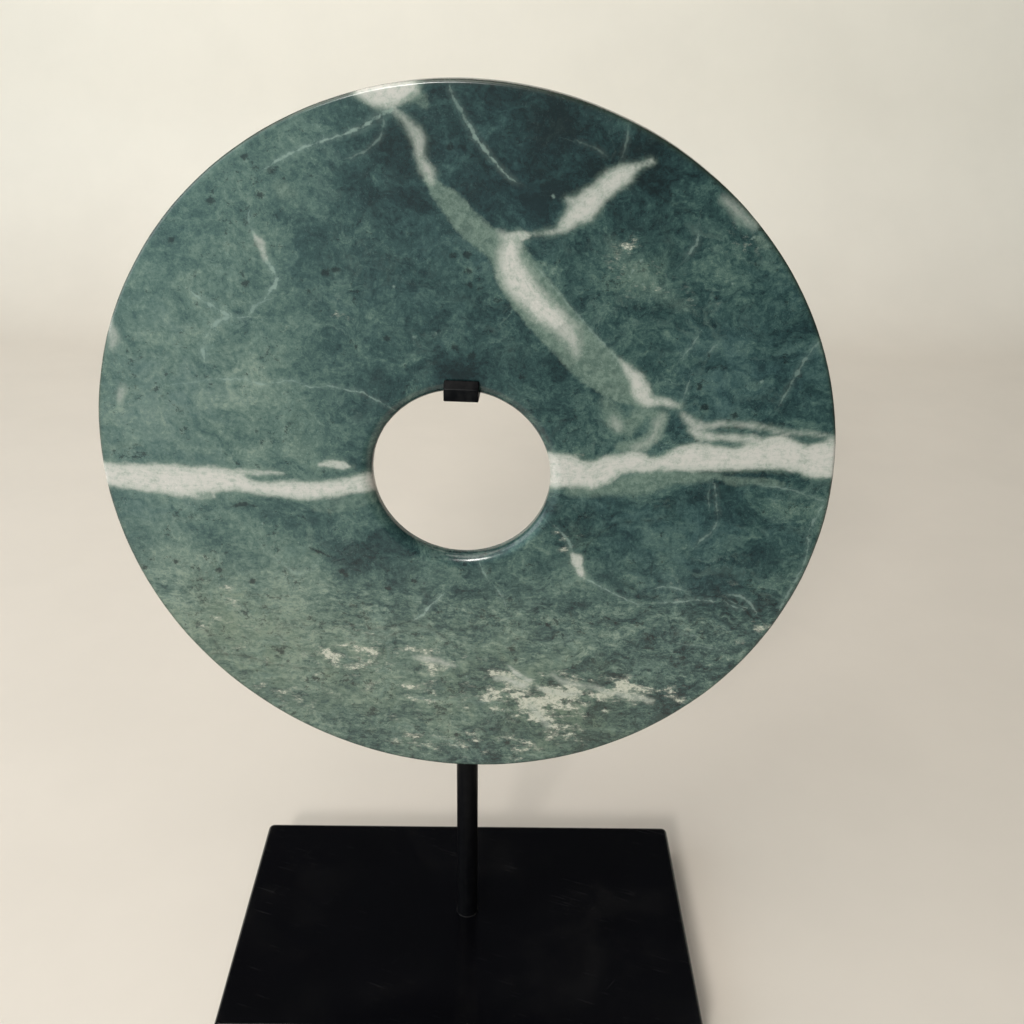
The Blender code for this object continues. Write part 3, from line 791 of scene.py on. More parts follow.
def gathered(places: np.ndarray, patches: tuple[Patch, ...], spread: float = 0.62) -> np.ndarray:
    """Add up the soft patches at every place.

    Args:
        places: (count, 2) places on the disc's plane, in millimetres.
        patches: the patches.
        spread: the bell curve's spread, as a share of a patch's radius.

    Returns:
        The sum at each place.
    """
    total = np.zeros(len(places))
    for patch in patches:
        dx, dz = places[:, 0] - patch.x, places[:, 1] - patch.z
        along = dx * cos(patch.lean) + dz * sin(patch.lean)
        across = dz * cos(patch.lean) - dx * sin(patch.lean)
        square = (along / patch.stretch) ** 2 + across ** 2
        total += patch.amount * np.exp(-square / (2 * (spread * patch.radius) ** 2))
    return total


# Finishes


@dataclass(frozen=True)
class StoneFinish:
    """Polished green serpentine: clouded ground, pale bands, white veins, threads.

    Sizes and heights are in millimetres. Colours are shares of light put back.
    """

    ground: tuple[Triple, ...] = (
        (0.0038, 0.0110, 0.0122), (0.0096, 0.0270, 0.0284), (0.0256, 0.0580, 0.0550),
        (0.0680, 0.1150, 0.0972), (0.1390, 0.1900, 0.1540), (0.2120, 0.2600, 0.2080))
    ground_stops: tuple[float, ...] = (0.32, 0.50, 0.68, 0.86)
    warm: Triple = (0.122, 0.160, 0.108)
    cool: Triple = (0.045, 0.092, 0.108)
    wisp: Triple = (0.150, 0.215, 0.180)
    pale: Triple = (0.168, 0.220, 0.178)
    pale_shadow: Triple = (0.088, 0.132, 0.107)
    white: Triple = (0.550, 0.508, 0.468)
    streak: Triple = (0.255, 0.300, 0.250)
    grain: Triple = (0.500, 0.475, 0.395)
    grain_shadow: Triple = (0.165, 0.215, 0.165)
    thread: Triple = (0.240, 0.310, 0.272)
    ink: Triple = (0.004, 0.010, 0.011)
    rim: Triple = (0.026, 0.034, 0.020)
    roughness: float = 0.20
    refraction: float = 1.56
    pit_depth_m: float = 0.00006
    swirl_reach: float = 24.0
    cloud_size: float = 17.0
    layers_begin: float = -25.0
    layers_full: float = -75.0
    grain_level: float = 0.666
    grain_gain: float = 0.165

    def make(self, effects: Effects) -> Material:
        """Return the material.

        Args:
            effects: the shared shader effects.

        Returns:
            The stone's material.
        """
        b = CoatBench("polished_serpentine", effects)
        b.place = b.read("slab")
        # The lightness and yellowness read here carry painted reflection at the left and bottom and
        # painted shade above the hook, besides the stone's own clouds.
        tone_and_sheen, warmth_and_sheen, crackle = b.parts(b.read("cloud"))
        white_gap, pale_gap, soft = b.parts(b.read("bands"))
        white_force, pale_force, edge = b.parts(b.read("forces"))
        dark_gap, pale_spot_and_glint_gap, pale_soft = b.parts(b.read("spots"))
        pull = b.node("ShaderNodeTexNoise", {"Vector": b.place, "Scale": 0.055, "Detail": 4.0,
                                             "Roughness": 0.6})
        pull = b.vector("SUBTRACT", pull.outputs["Color"], (0.5, 0.5, 0.5))
        swirled = b.vector("ADD", b.place, b.scaled(pull, self.swirl_reach))

        colour, level, crumbs = self._ground(b, swirled, tone_and_sheen, warmth_and_sheen)
        tint = b.blend(b.fade(b.noise(b.place, 0.7, 4.0, 0.8), 0.44, 0.70), self.grain,
                       self.grain_shadow)
        colour = b.blend(self._grains(b, crackle), colour, tint)
        spot = b.effect("broken_edge", Distance=b.plus(dark_gap, -0.15), Coarse=0.3, Fine=1.6,
                        Softness=0.5)
        colour = b.blend(b.times(spot, 0.80), colour, self.ink)

        band = b.effect("broken_edge", Distance=pale_gap, Coarse=1.3, Fine=1.2,
                        Softness=pale_soft)
        mottle = b.effect("mottle", Size=4.0, Swirl=0.6, Amount=0.25)
        cloudy = b.plus(0.90, b.plus(b.times(self._lines(b, pale_gap), 0.5), mottle))
        band = b.math("MULTIPLY", b.times(band, pale_force), cloudy, clamp=True)
        shade = b.blend(b.fade(crumbs, -0.09, 0.09), self.pale_shadow, self.pale)
        colour = b.blend(band, colour, shade)

        seam = self._hair(b, "seam", "seam_force", 1.0, 0.65)
        colour = b.blend(seam, colour, self.ink)
        thread = self._hair(b, "thread", "thread_force", 0.9, 0.50)
        side = self._hair(b, "side_thread", "side_force", 0.8, 0.60)
        # Pale spots, a few of them painted glints, drawn in the thread colour.
        mark = b.effect("broken_edge", Distance=b.plus(pale_spot_and_glint_gap, 0.35), Coarse=0.3, Fine=1.3,
                        Softness=0.5)
        bright = b.most(b.times(b.most(thread, side), 0.85), b.times(mark, 0.55))
        colour = b.blend(bright, colour, self.thread)

        colour = b.blend(b.times(edge, 0.60), colour, self.rim)
        colour, vein = self._vein(b, swirled, colour, white_gap, white_force, soft, crumbs)
        b.feed(b.shader.inputs["Base Color"], colour)
        self._surface(b, level, vein, edge)
        return b.material

    @staticmethod
    def _hair(b: CoatBench, line: str, force: str, waver: float, softness: float) -> NodeSocket:
        """Draw one set of thin lines.

        Args:
            b: the material's bench.
            line: the mesh attribute with the distances to the lines.
            force: the mesh attribute with their strength.
            waver: how far the lines stray, in millimetres.
            softness: how wide their edges are, in millimetres.

        Returns:
            Their mask.
        """
        mask = b.effect("hair_line", Line=b.read(line), Waver=waver, Softness=softness)
        return b.times(mask, b.read(force, "Fac"))

    @staticmethod
    def _lines(b: CoatBench, gap: object) -> NodeSocket:
        """Vary a band lengthwise.

        Args:
            b: the material's bench.
            gap: the distance to the band's edge.

        Returns:
            Values around zero.
        """
        x, y, z = b.parts(b.place)
        along = b.node("ShaderNodeCombineXYZ", {0: b.times(x, 0.11), 1: b.times(gap, 0.85),
                                                2: b.times(b.plus(z, y), 0.11)}).outputs[0]
        return b.minus(b.noise(along, 1.0, 4.0, 0.65, 0.4), 0.5)

    def _ground(self, b: CoatBench, swirled: object, tone_and_sheen: object, warmth_and_sheen: object
                ) -> tuple[NodeSocket, ...]:
        """Mix the green ground.

        Args:
            b: the material's bench.
            swirled: the place on the stone after a soft swirl.
            tone_and_sheen: how light the area is; partly the stone's own clouds, partly painted
                reflection (lighter left and bottom) and painted shade above the hook.
            warmth_and_sheen: how yellow the area is; partly painted reflection, warmer at the
                bottom and cooler at the left.

        Returns:
            The ground's colour, the level it was mixed from and its fine grain.
        """
        drawn = b.vector("MULTIPLY", swirled, (0.75, 1.0, 1.15))
        clouds = b.noise(drawn, 1 / self.cloud_size, 6.0, 0.74, 0.5)
        swing = b.fade(b.parts(b.place)[0], -75.0, 5.0, 3.1, 4.4)
        # Painted reflection and shade come in here with the lightness: lighter at the left and
        # bottom, dark just above the hook.
        level = b.plus(tone_and_sheen, b.centred(clouds, swing))
        below = b.fade(b.parts(b.place)[2], self.layers_begin, self.layers_full)
        layered = b.drawn_noise(swirled, (0.06, 0.26, 0.26), 4.0, 0.75, 0.5)
        level = b.plus(level, b.times(b.centred(layered, 2.6), below))
        near = b.vector("ADD", b.scaled(b.place, 0.8), b.scaled(swirled, 0.2))
        round_grain = b.noise(near, 0.42, 5.0, 0.86)
        long_grain = b.drawn_noise(near, (0.24, 0.55, 0.55), 5.0, 0.86)
        share = b.fade(below, 0.0, 1.0, 0.15, 0.80)
        crumbs = b.plus(b.times(round_grain, b.minus(1.0, share)), b.times(long_grain, share))
        level = b.plus(level, b.centred(crumbs, b.fade(below, 0.0, 1.0, 3.2, 6.2)))
        ramp = b.node("ShaderNodeValToRGB", {0: b.plus(b.times(level, 0.33), 0.547)})
        stops = ramp.color_ramp.elements
        stops[0].position, stops[1].position = 0.13, 1.0
        for stop in self.ground_stops:
            stops.new(stop)
        for stop, shade in zip(stops, self.ground):
            stop.color = (*shade, 1.0)
        patchy = b.plus(warmth_and_sheen, b.effect("mottle", Vector=swirled, Size=13.0, Swirl=0.8,
                                         Amount=0.40))
        bright = b.fade(level, -0.9, 0.9, 0.25, 1.0)
        # The warm and cool blends are partly painted reflection: warmer at the bottom, cooler at
        # the left.
        colour = b.blend(b.times(b.fade(patchy, 0.05, 1.3, 0.0, 0.8), bright), ramp.outputs[0],
                         self.warm)
        colour = b.blend(b.times(b.fade(patchy, -0.05, -1.0, 0.0, 0.6), bright), colour,
                         self.cool)

        ridges = b.node("ShaderNodeTexNoise",
                        {"Vector": drawn, "Scale": 0.085, "Detail": 7.0, "Roughness": 0.62,
                         "Distortion": 0.7, "Offset": 1.0, "Gain": 2.0},
                        noise_type="RIDGED_MULTIFRACTAL", normalize=True).outputs[0]
        where = b.times(b.fade(b.noise(swirled, 0.04, 2.0), 0.40, 0.62),
                        b.fade(tone_and_sheen, -0.6, 0.1, 0.10, 1.0))
        wisps = b.times(b.fade(ridges, 1.45, 2.25), where)
        colour = b.blend(b.times(wisps, 0.36), colour, self.wisp)
        crowd = b.centred(b.noise(b.place, 0.06, 2.0), 0.28)
        specks = b.plus(b.drawn_noise(near, (0.24, 0.30, 0.34), 6.0, 0.82), crowd)
        specks = b.plus(specks, b.times(below, -0.022))
        colour = b.blend(b.times(b.fade(specks, 0.405, 0.345), 0.70), colour, self.ink)
        bed = b.drawn_noise(swirled, (0.020, 0.085, 0.085), 4.0, 0.62, 0.3)
        bed = b.fade(b.size(b.minus(bed, 0.5)), 0.011, 0.001)
        bed = b.times(b.times(bed, below), b.fade(b.noise(b.place, 0.07, 2.0), 0.46, 0.60))
        colour = b.blend(b.times(bed, 0.55), colour, self.ink)
        return colour, level, b.minus(crumbs, 0.5)

    def _grains(self, b: CoatBench, crackle: object) -> NodeSocket:
        """Break the crackled areas into pale grains.

        Args:
            b: the material's bench.
            crackle: how crackled the area is.

        Returns:
            The grains' mask.
        """
        broken = b.drawn_noise(b.place, (0.11, 0.20, 0.22), 6.0, 0.74)
        past = b.minus(broken, b.minus(self.grain_level, b.times(crackle, self.grain_gain)))
        hard, soft = b.fade(past, -0.004, 0.040), b.fade(past, -0.08, 0.02)
        return b.times(b.most(hard, b.times(soft, 0.32)), b.fade(crackle, 0.02, 0.30))

    def _vein(self, b: CoatBench, swirled: object, colour: object, gap: object, force: object,
              soft: object, crumbs: object) -> tuple[NodeSocket, NodeSocket]:
        """Lay the white veins over the stone.

        Args:
            b: the material's bench.
            swirled: the place on the stone after a soft swirl.
            colour: the stone's colour so far.
            gap: the distance to the vein's edge.
            force: the vein's strength.
            soft: how wide its ragged edge is.
            crumbs: the ground's fine grain.

        Returns:
            The new colour and the veins' mask.
        """
        fringe = b.effect("broken_edge", Distance=b.plus(gap, -0.9), Vector=swirled, Coarse=1.8,
                          Fine=1.8, Softness=b.plus(b.times(soft, 0.5), 1.2))
        colour = b.blend(b.times(b.times(fringe, force), 0.60), colour, self.pale)
        vein = b.effect("broken_edge", Distance=gap, Coarse=1.5,
                        Fine=b.plus(b.times(soft, 0.30), 0.55), Softness=soft)
        vein = b.times(vein, force)
        lines = b.times(self._lines(b, gap), 1.5)
        clouds = b.effect("mottle", Size=5.0, Swirl=0.5, Amount=0.45)
        mixed = b.plus(b.plus(lines, clouds), b.times(crumbs, -4.0))
        mixed = b.plus(b.fade(mixed, -0.35, 0.95, 0.0, 0.80), b.fade(gap, -3.4, 0.3, 0.0, 0.42))
        shade = b.blend(b.math("MINIMUM", mixed, 0.95), self.white, self.streak)
        return b.blend(vein, colour, shade), vein

    def _surface(self, b: CoatBench, level: object, vein: object, edge: object) -> None:
        """Set the polish: roughness with wear, and fine unevenness.

        Args:
            b: the material's bench.
            level: the level that the ground was mixed from.
            vein: the mask of the white veins.
            edge: nearness to the rim, from 0 to 1.
        """
        rub = b.effect("rub_marks", Angle=0.7, Share=0.35)
        worn = b.effect("edge_wear", Nearness=edge, Amount=0.5)
        patchy = b.effect("mottle", Size=9.0, Swirl=0.4, Amount=0.035)
        rough = b.plus(b.plus(self.roughness, b.times(vein, 0.05)), patchy)
        rough = b.plus(b.plus(rough, b.times(rub, 0.10)), b.times(worn, 0.12))
        b.feed(b.shader.inputs["Roughness"], rough)
        b.shader.inputs["IOR"].default_value = self.refraction
        pits = b.plus(b.times(level, 0.35), b.noise(b.place, 1.6, 3.0, 0.6))
        bump = b.node("ShaderNodeBump", {"Strength": 0.10, "Distance": self.pit_depth_m,
                                         "Height": pits})
        b.feed(b.shader.inputs["Normal"], bump.outputs[0])


@dataclass(frozen=True)
class BlackFinish:
    """A black coat: lacquer on the base, enamel on the metal."""

    name: str
    colour: Triple
    worn_colour: Triple
    roughness: float
    peel_depth_m: float
    peel_size: float
    dust: float
    rubbed: float
    shine: float
    dust_colour: Triple = (0.20, 0.19, 0.17)
    lighter: float = 1.7

    def make(self, effects: Effects) -> Material:
        """Return the material.

        Args:
            effects: the shared shader effects.

        Returns:
            The coat's material.
        """
        b = CoatBench(self.name, effects)
        b.place = b.scaled(b.node("ShaderNodeTexCoord").outputs["Object"], MM_PER_M)
        edge = b.read("edge_nearness", "Fac")

        cloud = b.effect("mottle", Size=28.0, Swirl=0.8, Amount=0.5)
        colour = b.blend(b.fade(cloud, -0.5, 0.9), self.colour,
                         tuple(self.lighter * value for value in self.colour))
        worn = b.effect("edge_wear", Nearness=edge, Amount=self.rubbed)
        colour = b.blend(worn, colour, self.worn_colour)
        dust = b.effect("flecks", Size=0.55, Share=0.02, Clusters=30.0)
        haze = b.fade(b.effect("mottle", Size=40.0, Swirl=0.5, Amount=1.0), 0.0, 1.2)
        dust = b.times(b.plus(dust, b.times(haze, 0.05)), self.dust)
        colour = b.blend(dust, colour, self.dust_colour)
        b.feed(b.shader.inputs["Base Color"], colour)

        rub = b.effect("rub_marks", Angle=0.35, Share=0.30)
        cross = b.effect("rub_marks", Angle=-0.9, Share=0.22)
        rough = b.plus(self.roughness, b.times(b.most(rub, cross), 0.14))
        rough = b.plus(rough, b.plus(b.times(worn, 0.25), b.times(haze, 0.06)))
        rough = b.plus(rough, b.times(dust, 0.4))
        b.feed(b.shader.inputs["Roughness"], rough)
        b.shader.inputs["Specular IOR Level"].default_value = self.shine
        peel = b.noise(b.scaled(b.place, 1.0 / self.peel_size), 1.0, 2.0, 0.5)
        bump = b.node("ShaderNodeBump", {"Strength": 0.2, "Distance": self.peel_depth_m,
                                         "Height": b.plus(peel, b.times(rub, -0.2))})
        b.feed(b.shader.inputs["Normal"], bump.outputs[0])
        return b.material


LACQUER = BlackFinish(
    name="black_lacquer", colour=(0.0014, 0.0014, 0.0020), worn_colour=(0.022, 0.021, 0.021),
    roughness=0.15, peel_depth_m=0.00005, peel_size=2.6, dust=0.35, rubbed=0.4, shine=0.5)
ENAMEL = BlackFinish(
    name="black_enamel", colour=(0.0020, 0.0020, 0.0026), worn_colour=(0.032, 0.030, 0.029),
    roughness=0.30, peel_depth_m=0.00006, peel_size=0.9, dust=0.25, rubbed=0.5, shine=0.06)


# Mesh helpers


def wavering(x: float, y: float, z: float, size: float) -> float:
    """Return smooth noise between about -1 and 1 at a size in metres."""
    return solid_noise.noise(Vector((x, y, z)) / size)


def wave_array(places: np.ndarray, size: float, seed: float = 0.0) -> np.ndarray:
    """Return smooth waves over many places, from a few crossed sines.

    Args:
        places: (count, 3) places in millimetres.
        size: wave length in millimetres.
        seed: shifts the waves.

    Returns:
        Values between about -1 and 1.
    """
    total = np.zeros(len(places))
    rows = ((1.0, 0.31, 0.17), (-0.42, 0.87, 0.53), (0.23, -0.64, 0.91), (0.77, 0.52, -0.61))
    for index, row in enumerate(rows):
        turn = 2 * pi / size * (1.0 + 0.23 * index)
        total += np.sin(places @ (np.array(row) * turn) + seed + 1.7 * index)
    return total / len(rows)


def grid_faces(rows: int, columns: int, close_rows: bool) -> np.ndarray:
    """Return quads of a grid that is closed round its columns.

    Args:
        rows: number of rows.
        columns: vertices in each row; the last joins the first.
        close_rows: whether the last row joins the first too.

    Returns:
        (count, 4) vertex numbers.
    """
    last = rows if close_rows else rows - 1
    row, column = np.meshgrid(np.arange(last), np.arange(columns), indexing="ij")
    above, after = (row + 1) % rows, (column + 1) % columns
    corners = (row * columns + column, above * columns + column, above * columns + after,
               row * columns + after)
    return np.stack(corners, axis=-1).reshape(-1, 4)


def capped_faces(rows: int, columns: int) -> list[tuple[int, ...]]:
    """Return the quads of a grid with one face over each open end.

    Args:
        rows: number of rows.
        columns: vertices in each row; the last joins the first.

    Returns:
        Vertex numbers of each face.
    """
    count = rows * columns
    faces = [tuple(face) for face in grid_faces(rows, columns, close_rows=False)]
    return faces + [tuple(range(columns)), tuple(range(count - columns, count))]


def turns(count: int) -> list[float]:
    """Return angles spread evenly over a full turn."""
    return [2 * pi * step / count for step in range(count)]


def arc(centre: Pair, radius: float, start: float, end: float, steps: int) -> list[Pair]:
    """Return points of a circular arc in a plane, both ends included."""
    bends = [start + (end - start) * step / steps for step in range(steps + 1)]
    return [(centre[0] + radius * cos(t), centre[1] + radius * sin(t)) for t in bends]


def store(mesh: Mesh, name: str, values: np.ndarray) -> None:
    """Keep a number or a vector for each vertex as a mesh attribute.

    Args:
        mesh: the mesh.
        name: the attribute's name.
        values: (count,) numbers or (count, 3) vectors.
    """
    kind, key = ("FLOAT", "value") if values.ndim == 1 else ("FLOAT_VECTOR", "vector")
    kept = mesh.attributes.new(name, kind, "POINT")
    kept.data.foreach_set(key, values.astype(np.float32).ravel())


def stand_up(mesh: Mesh, material: Material, place: Matrix | None = None) -> Object:
    """Make a smooth object of a mesh and put it into the scene.

    Args:
        mesh: the mesh, whose name the object takes.
        material: the finish.
        place: where the piece stands, or None if the vertices already do.

    Returns:
        The object.
    """
    if place is not None:
        mesh.transform(place)
    mesh.shade_smooth()
    mesh.materials.append(material)
    made = bpy.data.objects.new(mesh.name, mesh)
    bpy.context.scene.collection.objects.link(made)
    log.info("%s: %d vertices, %d faces", mesh.name, len(mesh.vertices), len(mesh.polygons))
    return made


def new_piece(name: str, places: list[Triple], faces: list | np.ndarray, material: Material,
              edge: np.ndarray | float, place: Matrix | None = DISC_PLACE) -> Object:
    """Make a smooth piece, dress it and let it ride on the one body.

    Args:
        name: the piece's name.
        places: vertices in metres.
        faces: vertex numbers of each face.
        material: the finish.
        edge: nearness to an edge, from 0 to 1, one for all or one for each vertex.
        place: where the piece stands, or None if the vertices already do.

    Returns:
        The object.
    """
    mesh = bpy.data.meshes.new(name)
    mesh.from_pydata(places, [], [tuple(int(i) for i in face) for face in faces])
    store(mesh, "edge_nearness", np.full(len(places), edge))
    turned = bmesh.new()
    turned.from_mesh(mesh)
    bmesh.ops.recalc_face_normals(turned, faces=turned.faces[:])
    turned.to_mesh(mesh)
    turned.free()
    made = stand_up(mesh, material, place)
    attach(made, "root")
    return made


# Sub-assemblies


@dataclass
class StoneDisc:
    """The stone: flat polished faces, a fine rounded rim and a soft hole shoulder.

    The ragged and polish fields hold the wave length in millimetres, the seed and
    the height in metres of each set of waves on the rim and on the faces.
    """

    finish: Material
    radius: float = 0.145
    thickness: float = DISC_THICKNESS
    rim_rounding: float = 0.0013
    hole_radius: float = HOLE_RADIUS
    hole_shift: Pair = HOLE_SHIFT
    hole_front_rounding: float = 0.0034
    hole_front_reach: float = 0.0047
    hole_back_rounding: float = 0.0024
    around: int = 576
    front_rings: int = 110
    back_rings: int = 28
    bend_steps: int = 6
    shoulder_steps: int = 14
    vein_lean: Pair = (0.35, -0.22)
    ragged: tuple[Triple, ...] = ((31.0, 2.0, 0.00007), (6.0, 5.0, 0.00003))
    polish: tuple[Triple, ...] = ((42.0, 1.0, 0.000012), (17.0, 4.0, 0.000005))
    edge_width_mm: float = 1.2
    thread_reach_mm: float = 8.0

    def section(self) -> list[tuple[float, float, float, float]]:
        """Lay out the rings of vertices, from the hole over the front and back again.

        Returns:
            Rings as (share from hole to rim, hole radius, rim radius, depth).
        """
        front, back = -self.thickness / 2, self.thickness / 2
        flat_rim = self.radius - self.rim_rounding
        flat_front = self.hole_radius + self.hole_front_reach
        flat_back = self.hole_radius + self.hole_back_rounding
        rings = []
        for step in range(self.front_rings):
            rings.append((step / self.front_rings, flat_front, flat_rim, front))
        for r, y in arc((flat_rim, front + self.rim_rounding), self.rim_rounding, -pi / 2, 0.0,
                        self.bend_steps):
            rings.append((1.0, flat_front, r, y))
        for r, y in arc((flat_rim, back - self.rim_rounding), self.rim_rounding, 0.0, pi / 2,
                        self.bend_steps):
            rings.append((1.0, flat_back, r, y))
        for step in range(1, self.back_rings):
            rings.append((1.0 - step / self.back_rings, flat_back, flat_rim, back))
        for r, y in arc((flat_back, back - self.hole_back_rounding), self.hole_back_rounding,
                        pi / 2, pi, self.bend_steps):
            rings.append((0.0, r, flat_rim, y))
        for across, down in arc((1.0, 1.0), 1.0, pi, 3 * pi / 2, self.shoulder_steps)[:-1]:
            rings.append((0.0, self.hole_radius + self.hole_front_reach * across, flat_rim,
                          front + self.hole_front_rounding * down))
        return rings

    def places(self) -> np.ndarray:
        """Return the vertices in the disc's own frame.

        Returns:
            (count, 3) places in metres.
        """
        turn = np.array(turns(self.around))
        unit = np.stack([np.cos(turn), np.sin(turn)], 1)
        rim_places = np.column_stack([unit * self.radius * MM_PER_M, turn * 0])
        ragged = sum(height * (1 + wave_array(rim_places, size, seed))
                     for size, seed, height in self.ragged)
        rows = []
        for share, hole, rim, depth in self.section():
            inner = np.array(self.hole_shift) + unit * (hole + 0.5 * ragged)[:, None]
            outer = unit * (rim - ragged)[:, None]
            flat = inner * (1 - share) + outer * share
            rows.append(np.column_stack([flat[:, 0], np.full(self.around, depth), flat[:, 1]]))
        places = np.vstack(rows)
        polish = sum(height * (1 + wave_array(places * MM_PER_M, size, seed))
                     for size, seed, height in self.polish)
        places[:, 1] -= np.sign(places[:, 1]) * polish
        return places

    def mark(self, mesh: Mesh, places: np.ndarray) -> None:
        """Measure the markings into the mesh.

        Args:
            mesh: the stone's mesh.
            places: its vertices in the disc's own frame, in metres.
        """
        slab = places * MM_PER_M
        depth = slab[:, 1] + self.thickness / 2 * MM_PER_M
        flat = slab[:, (0, 2)] - depth[:, None] * np.array(self.vein_lean)
        _, away, half, white_force, white_soft = nearest_stroke(flat, WHITE_VEINS)
        white = away - half
        _, away, half, pale_force, pale_soft = nearest_stroke(flat, PALE_BANDS)
        pale = away - half
        from_rim = np.abs(self.radius * MM_PER_M - np.hypot(slab[:, 0], slab[:, 2]))
        edge = np.clip(1.4 - from_rim / self.edge_width_mm, 0, 1)
        # The pale spots include a few painted glints. Besides the stone's clouds, the lightness and
        # yellowness patches hold painted reflection and painted shade.
        dark, light = nearest_spot(flat, DARK_SPOTS), nearest_spot(flat, PALE_SPOTS_AND_GLINTS)
        cloud = [gathered(flat, patches) for patches in (TONE_AND_SHEEN, WARMTH_AND_SHEEN, CRACKLE)]
        store(mesh, "slab", slab)
        for name, columns in (("bands", (white, pale, white_soft)),
                              ("forces", (white_force, pale_force, edge)), ("cloud", cloud),
                              ("spots", (dark, light, pale_soft))):
            store(mesh, name, np.column_stack(columns))
        for name, strokes, strength in (("thread", LIGHT_THREADS, "thread_force"),
                                        ("side_thread", SIDE_THREADS, "side_force"),
                                        ("seam", DARK_SEAMS, "seam_force")):
            side, away, half, force, _ = nearest_stroke(flat, strokes, self.thread_reach_mm)
            store(mesh, name, np.column_stack([side, away, half]))
            store(mesh, strength, force)

    def build(self) -> None:
        """Build the stone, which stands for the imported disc."""
        places = self.places()
        faces = grid_faces(len(places) // self.around, self.around, close_rows=True)
        mesh = bpy.data.meshes.new("stone_disc")
        mesh.vertices.add(len(places))
        mesh.vertices.foreach_set("co", places.astype(np.float32).ravel())
        mesh.loops.add(faces.size)
        mesh.loops.foreach_set("vertex_index", faces.astype(np.int32).ravel())
        mesh.polygons.add(len(faces))
        mesh.polygons.foreach_set("loop_start", np.arange(0, faces.size, 4, dtype=np.int32))
        mesh.update(calc_edges=True)
        mesh.validate()
        self.mark(mesh, places)
        stone = stand_up(mesh, self.finish, DISC_PLACE)
        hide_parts("jade_disc")
        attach(stone, "root")


@dataclass
class BasePlate:
    """The lacquered base: a flat plate with rounded corners and softened edges."""

    finish: Material
    width: float = 0.2205
    depth: float = 0.131
    height: float = BASE_TOP
    corner: float = 0.0030
    least_corner: float = 0.0004
    corner_steps: int = 8
    side_steps: int = 28
    top_rounding: float = 0.0020
    bottom_rounding: float = 0.0008
    wall_levels: tuple[float, ...] = (0.0045, 0.0075, 0.0105, 0.0135, 0.0165)
    under_insets: tuple[float, ...] = (0.054, 0.034, 0.018, 0.008, 0.004, 0.0015)
    top_insets: tuple[float, ...] = (0.0028, 0.004, 0.008, 0.018, 0.034, 0.054)
    dent: float = 0.00005
    dent_size: float = 0.021
    dent_inset: float = 0.004
    sag: float = 0.00006
    sag_size: float = 0.09
    edge_inset: float = 0.0006
    edge_reach: float = 0.0022
    low_wear: float = 0.3
    corner_wear: float = 0.35
    corner_reach: float = 0.006
    corner_inset: float = 0.003

    def outline(self, inset: float, height: float) -> list[Triple]:
        """Draw one level of the plate.

        Args:
            inset: how far inside the plate's sides it lies.
            height: how high it lies.

        Returns:
            A closed outline.
        """
        corner = max(self.corner - min(inset, self.corner / 2), self.least_corner)
        reach_x = self.width / 2 - inset - corner
        reach_y = self.depth / 2 - inset - corner
        points = []
        signs = ((1, 1), (-1, 1), (-1, -1), (1, -1))
        for quarter, (sign_x, sign_y) in enumerate(signs):
            start, end = quarter * pi / 2, quarter * pi / 2 + pi / 2
            bend = arc((sign_x * reach_x, sign_y * reach_y), corner, start, end,
                       self.corner_steps)
            following = signs[(quarter + 1) % 4]
            far = (following[0] * reach_x + corner * cos(end),
                   following[1] * reach_y + corner * sin(end))
            points += bend
            for step in range(1, self.side_steps):
                share = step / self.side_steps
                points.append((bend[-1][0] + (far[0] - bend[-1][0]) * share,
                               bend[-1][1] + (far[1] - bend[-1][1]) * share))
        return [(x, y, height) for x, y in points]

    def levels(self) -> list[Pair]:
        """Lay out the levels, from the underside's middle to the top's middle.

        Returns:
            (inset, height) of each.
        """
        low = arc((self.bottom_rounding, self.bottom_rounding), self.bottom_rounding,
                  3 * pi / 2, pi, 4)
        high = arc((self.top_rounding, self.height - self.top_rounding), self.top_rounding,
                   pi, pi / 2, 8)
        return ([(inset, 0.0) for inset in self.under_insets] + low
                + [(0.0, height) for height in self.wall_levels] + high
                + [(inset, self.height) for inset in self.top_insets])

    def worn(self, x: float, y: float, z: float, inset: float) -> float:
        """Say how near a place is to the plate's edges.

        Args:
            x: its place from side to side.
            y: its place from front to back.
            z: its height.
            inset: the inset of its level.

        Returns:
            The nearness, a little above 1 at most.
        """
        near = self.low_wear
        if z > self.height / 2:
            near = max(0.0, 1.0 - abs(inset - self.edge_inset) / self.edge_reach)
        at_corner = (abs(x) > self.width / 2 - self.corner_reach
                     and abs(y) > self.depth / 2 - self.corner_reach)
        return near + (self.corner_wear if at_corner and inset < self.corner_inset else 0.0)

    def build(self) -> None:
        """Build the base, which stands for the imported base."""
        places, edges = [], []
        levels = self.levels()
        for inset, height in levels:
            for x, y, z in self.outline(inset, height):
                if inset < self.dent_inset:
                    dent = self.dent * (1 + wavering(x, y, z, self.dent_size))
                    x -= dent * (1 if x > 0 else -1)
                    y -= dent * (1 if y > 0 else -1)
                if z > self.height - self.top_rounding and inset >= self.top_rounding:
                    z -= self.sag * (1 + wavering(x, y, 0.0, self.sag_size))
                places.append((x, y, z))
                edges.append(self.worn(x, y, z, inset))
        faces = capped_faces(len(levels), len(places) // len(levels))
        plate = new_piece("lacquered_base", places, faces, self.finish,
                          np.clip(np.array(edges), 0, 1), place=None)
        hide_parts("base")


